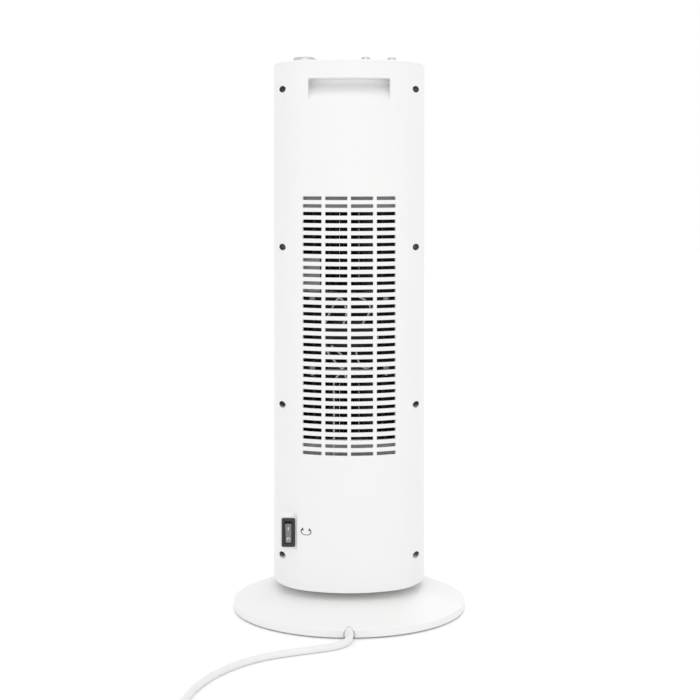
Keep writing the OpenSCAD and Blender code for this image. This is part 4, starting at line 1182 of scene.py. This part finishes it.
class HEATER_OT_base(bpy.types.Operator):
    """Builds the round base cover"""
    bl_idname = "heater.base"
    bl_label = "Base"

    def execute(self, context):
        dressed(make_base(), "base", "white_plastic", "base_cover")
        dressed(make_bush(), "base", "white_plastic")
        return {"FINISHED"}


class HEATER_OT_controls(bpy.types.Operator):
    """Builds the knob, the two buttons with their rings, and the lamp"""
    bl_idname = "heater.controls"
    bl_label = "Controls"

    def execute(self, context):
        knob, pointer = make_knob()
        dressed(knob, "knob", "chrome_trim", "thermostat_knob")
        dressed(pointer, "knob", "mark_ink")
        dressed(make_button("low_heat_button", 1), "low_button", "chrome_trim", "low_heat_button")
        dressed(make_button("high_heat_button", 2), "high_button", "chrome_trim", "high_heat_button")
        dressed(make_bezels(), "tower", "chrome_trim", "button_bezels")
        dressed(make_lamp(), "tower", "lamp_amber", "pilot_lamp")
        return {"FINISHED"}


class HEATER_OT_switch(bpy.types.Operator):
    """Builds the turning switch with its frame, marks and sign"""
    bl_idname = "heater.switch"
    bl_label = "Switch"

    def execute(self, context):
        bezel, tabs = make_bezel()
        dressed(bezel, "tower", "dark_plastic", "rocker_switch_body")
        dressed(tabs, "tower", "brass")
        rocker, marks = make_rocker()
        dressed(rocker, "rocker", "grey_plastic", "oscillation_rocker")
        dressed(marks, "rocker", "mark_ink")
        dressed(make_icon(), "tower", "mark_ink", "oscillation_mark")
        return {"FINISHED"}


class HEATER_OT_inside(bpy.types.Operator):
    """Gives the blower, heater, motors and base parts their materials"""
    bl_idname = "heater.inside"
    bl_label = "Inside"

    def execute(self, context):
        for finish, names in NODE_FINISH.items():
            for name in names:
                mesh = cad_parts[name].data
                mesh.materials.clear()
                mesh.materials.append(finish_of(finish))
        return {"FINISHED"}


class HEATER_PT_panel(bpy.types.Panel):
    """Sizes, colours and the pieces' buttons"""
    bl_idname = "HEATER_PT_panel"
    bl_label = "Tower heater"
    bl_space_type = "VIEW_3D"
    bl_region_type = "UI"
    bl_category = "Heater"

    def draw(self, context):
        for group in (context.scene.heater_sizes, context.scene.heater_colours):
            box = self.layout.box()
            for name in group.__annotations__:
                box.prop(group, name)
        for operator in OPERATORS:
            self.layout.operator(operator.bl_idname)


OPERATORS = (HEATER_OT_stage, HEATER_OT_cords, HEATER_OT_housing, HEATER_OT_base, HEATER_OT_controls,
             HEATER_OT_switch, HEATER_OT_inside)
CLASSES = (HeaterSizes, HeaterColours) + OPERATORS + (HEATER_PT_panel,)


def register():
    for cls in CLASSES:
        bpy.utils.register_class(cls)
    bpy.types.Scene.heater_sizes = PointerProperty(type=HeaterSizes)
    bpy.types.Scene.heater_colours = PointerProperty(type=HeaterColours)


def unregister():
    del bpy.types.Scene.heater_colours
    del bpy.types.Scene.heater_sizes
    for cls in reversed(CLASSES):
        bpy.utils.unregister_class(cls)


def main():
    register()
    bpy.ops.heater.stage()
    bpy.ops.heater.cords()
    bpy.ops.heater.housing()
    bpy.ops.heater.base()
    bpy.ops.heater.controls()
    bpy.ops.heater.switch()
    bpy.ops.heater.inside()


if __name__ == "__main__":
    main()
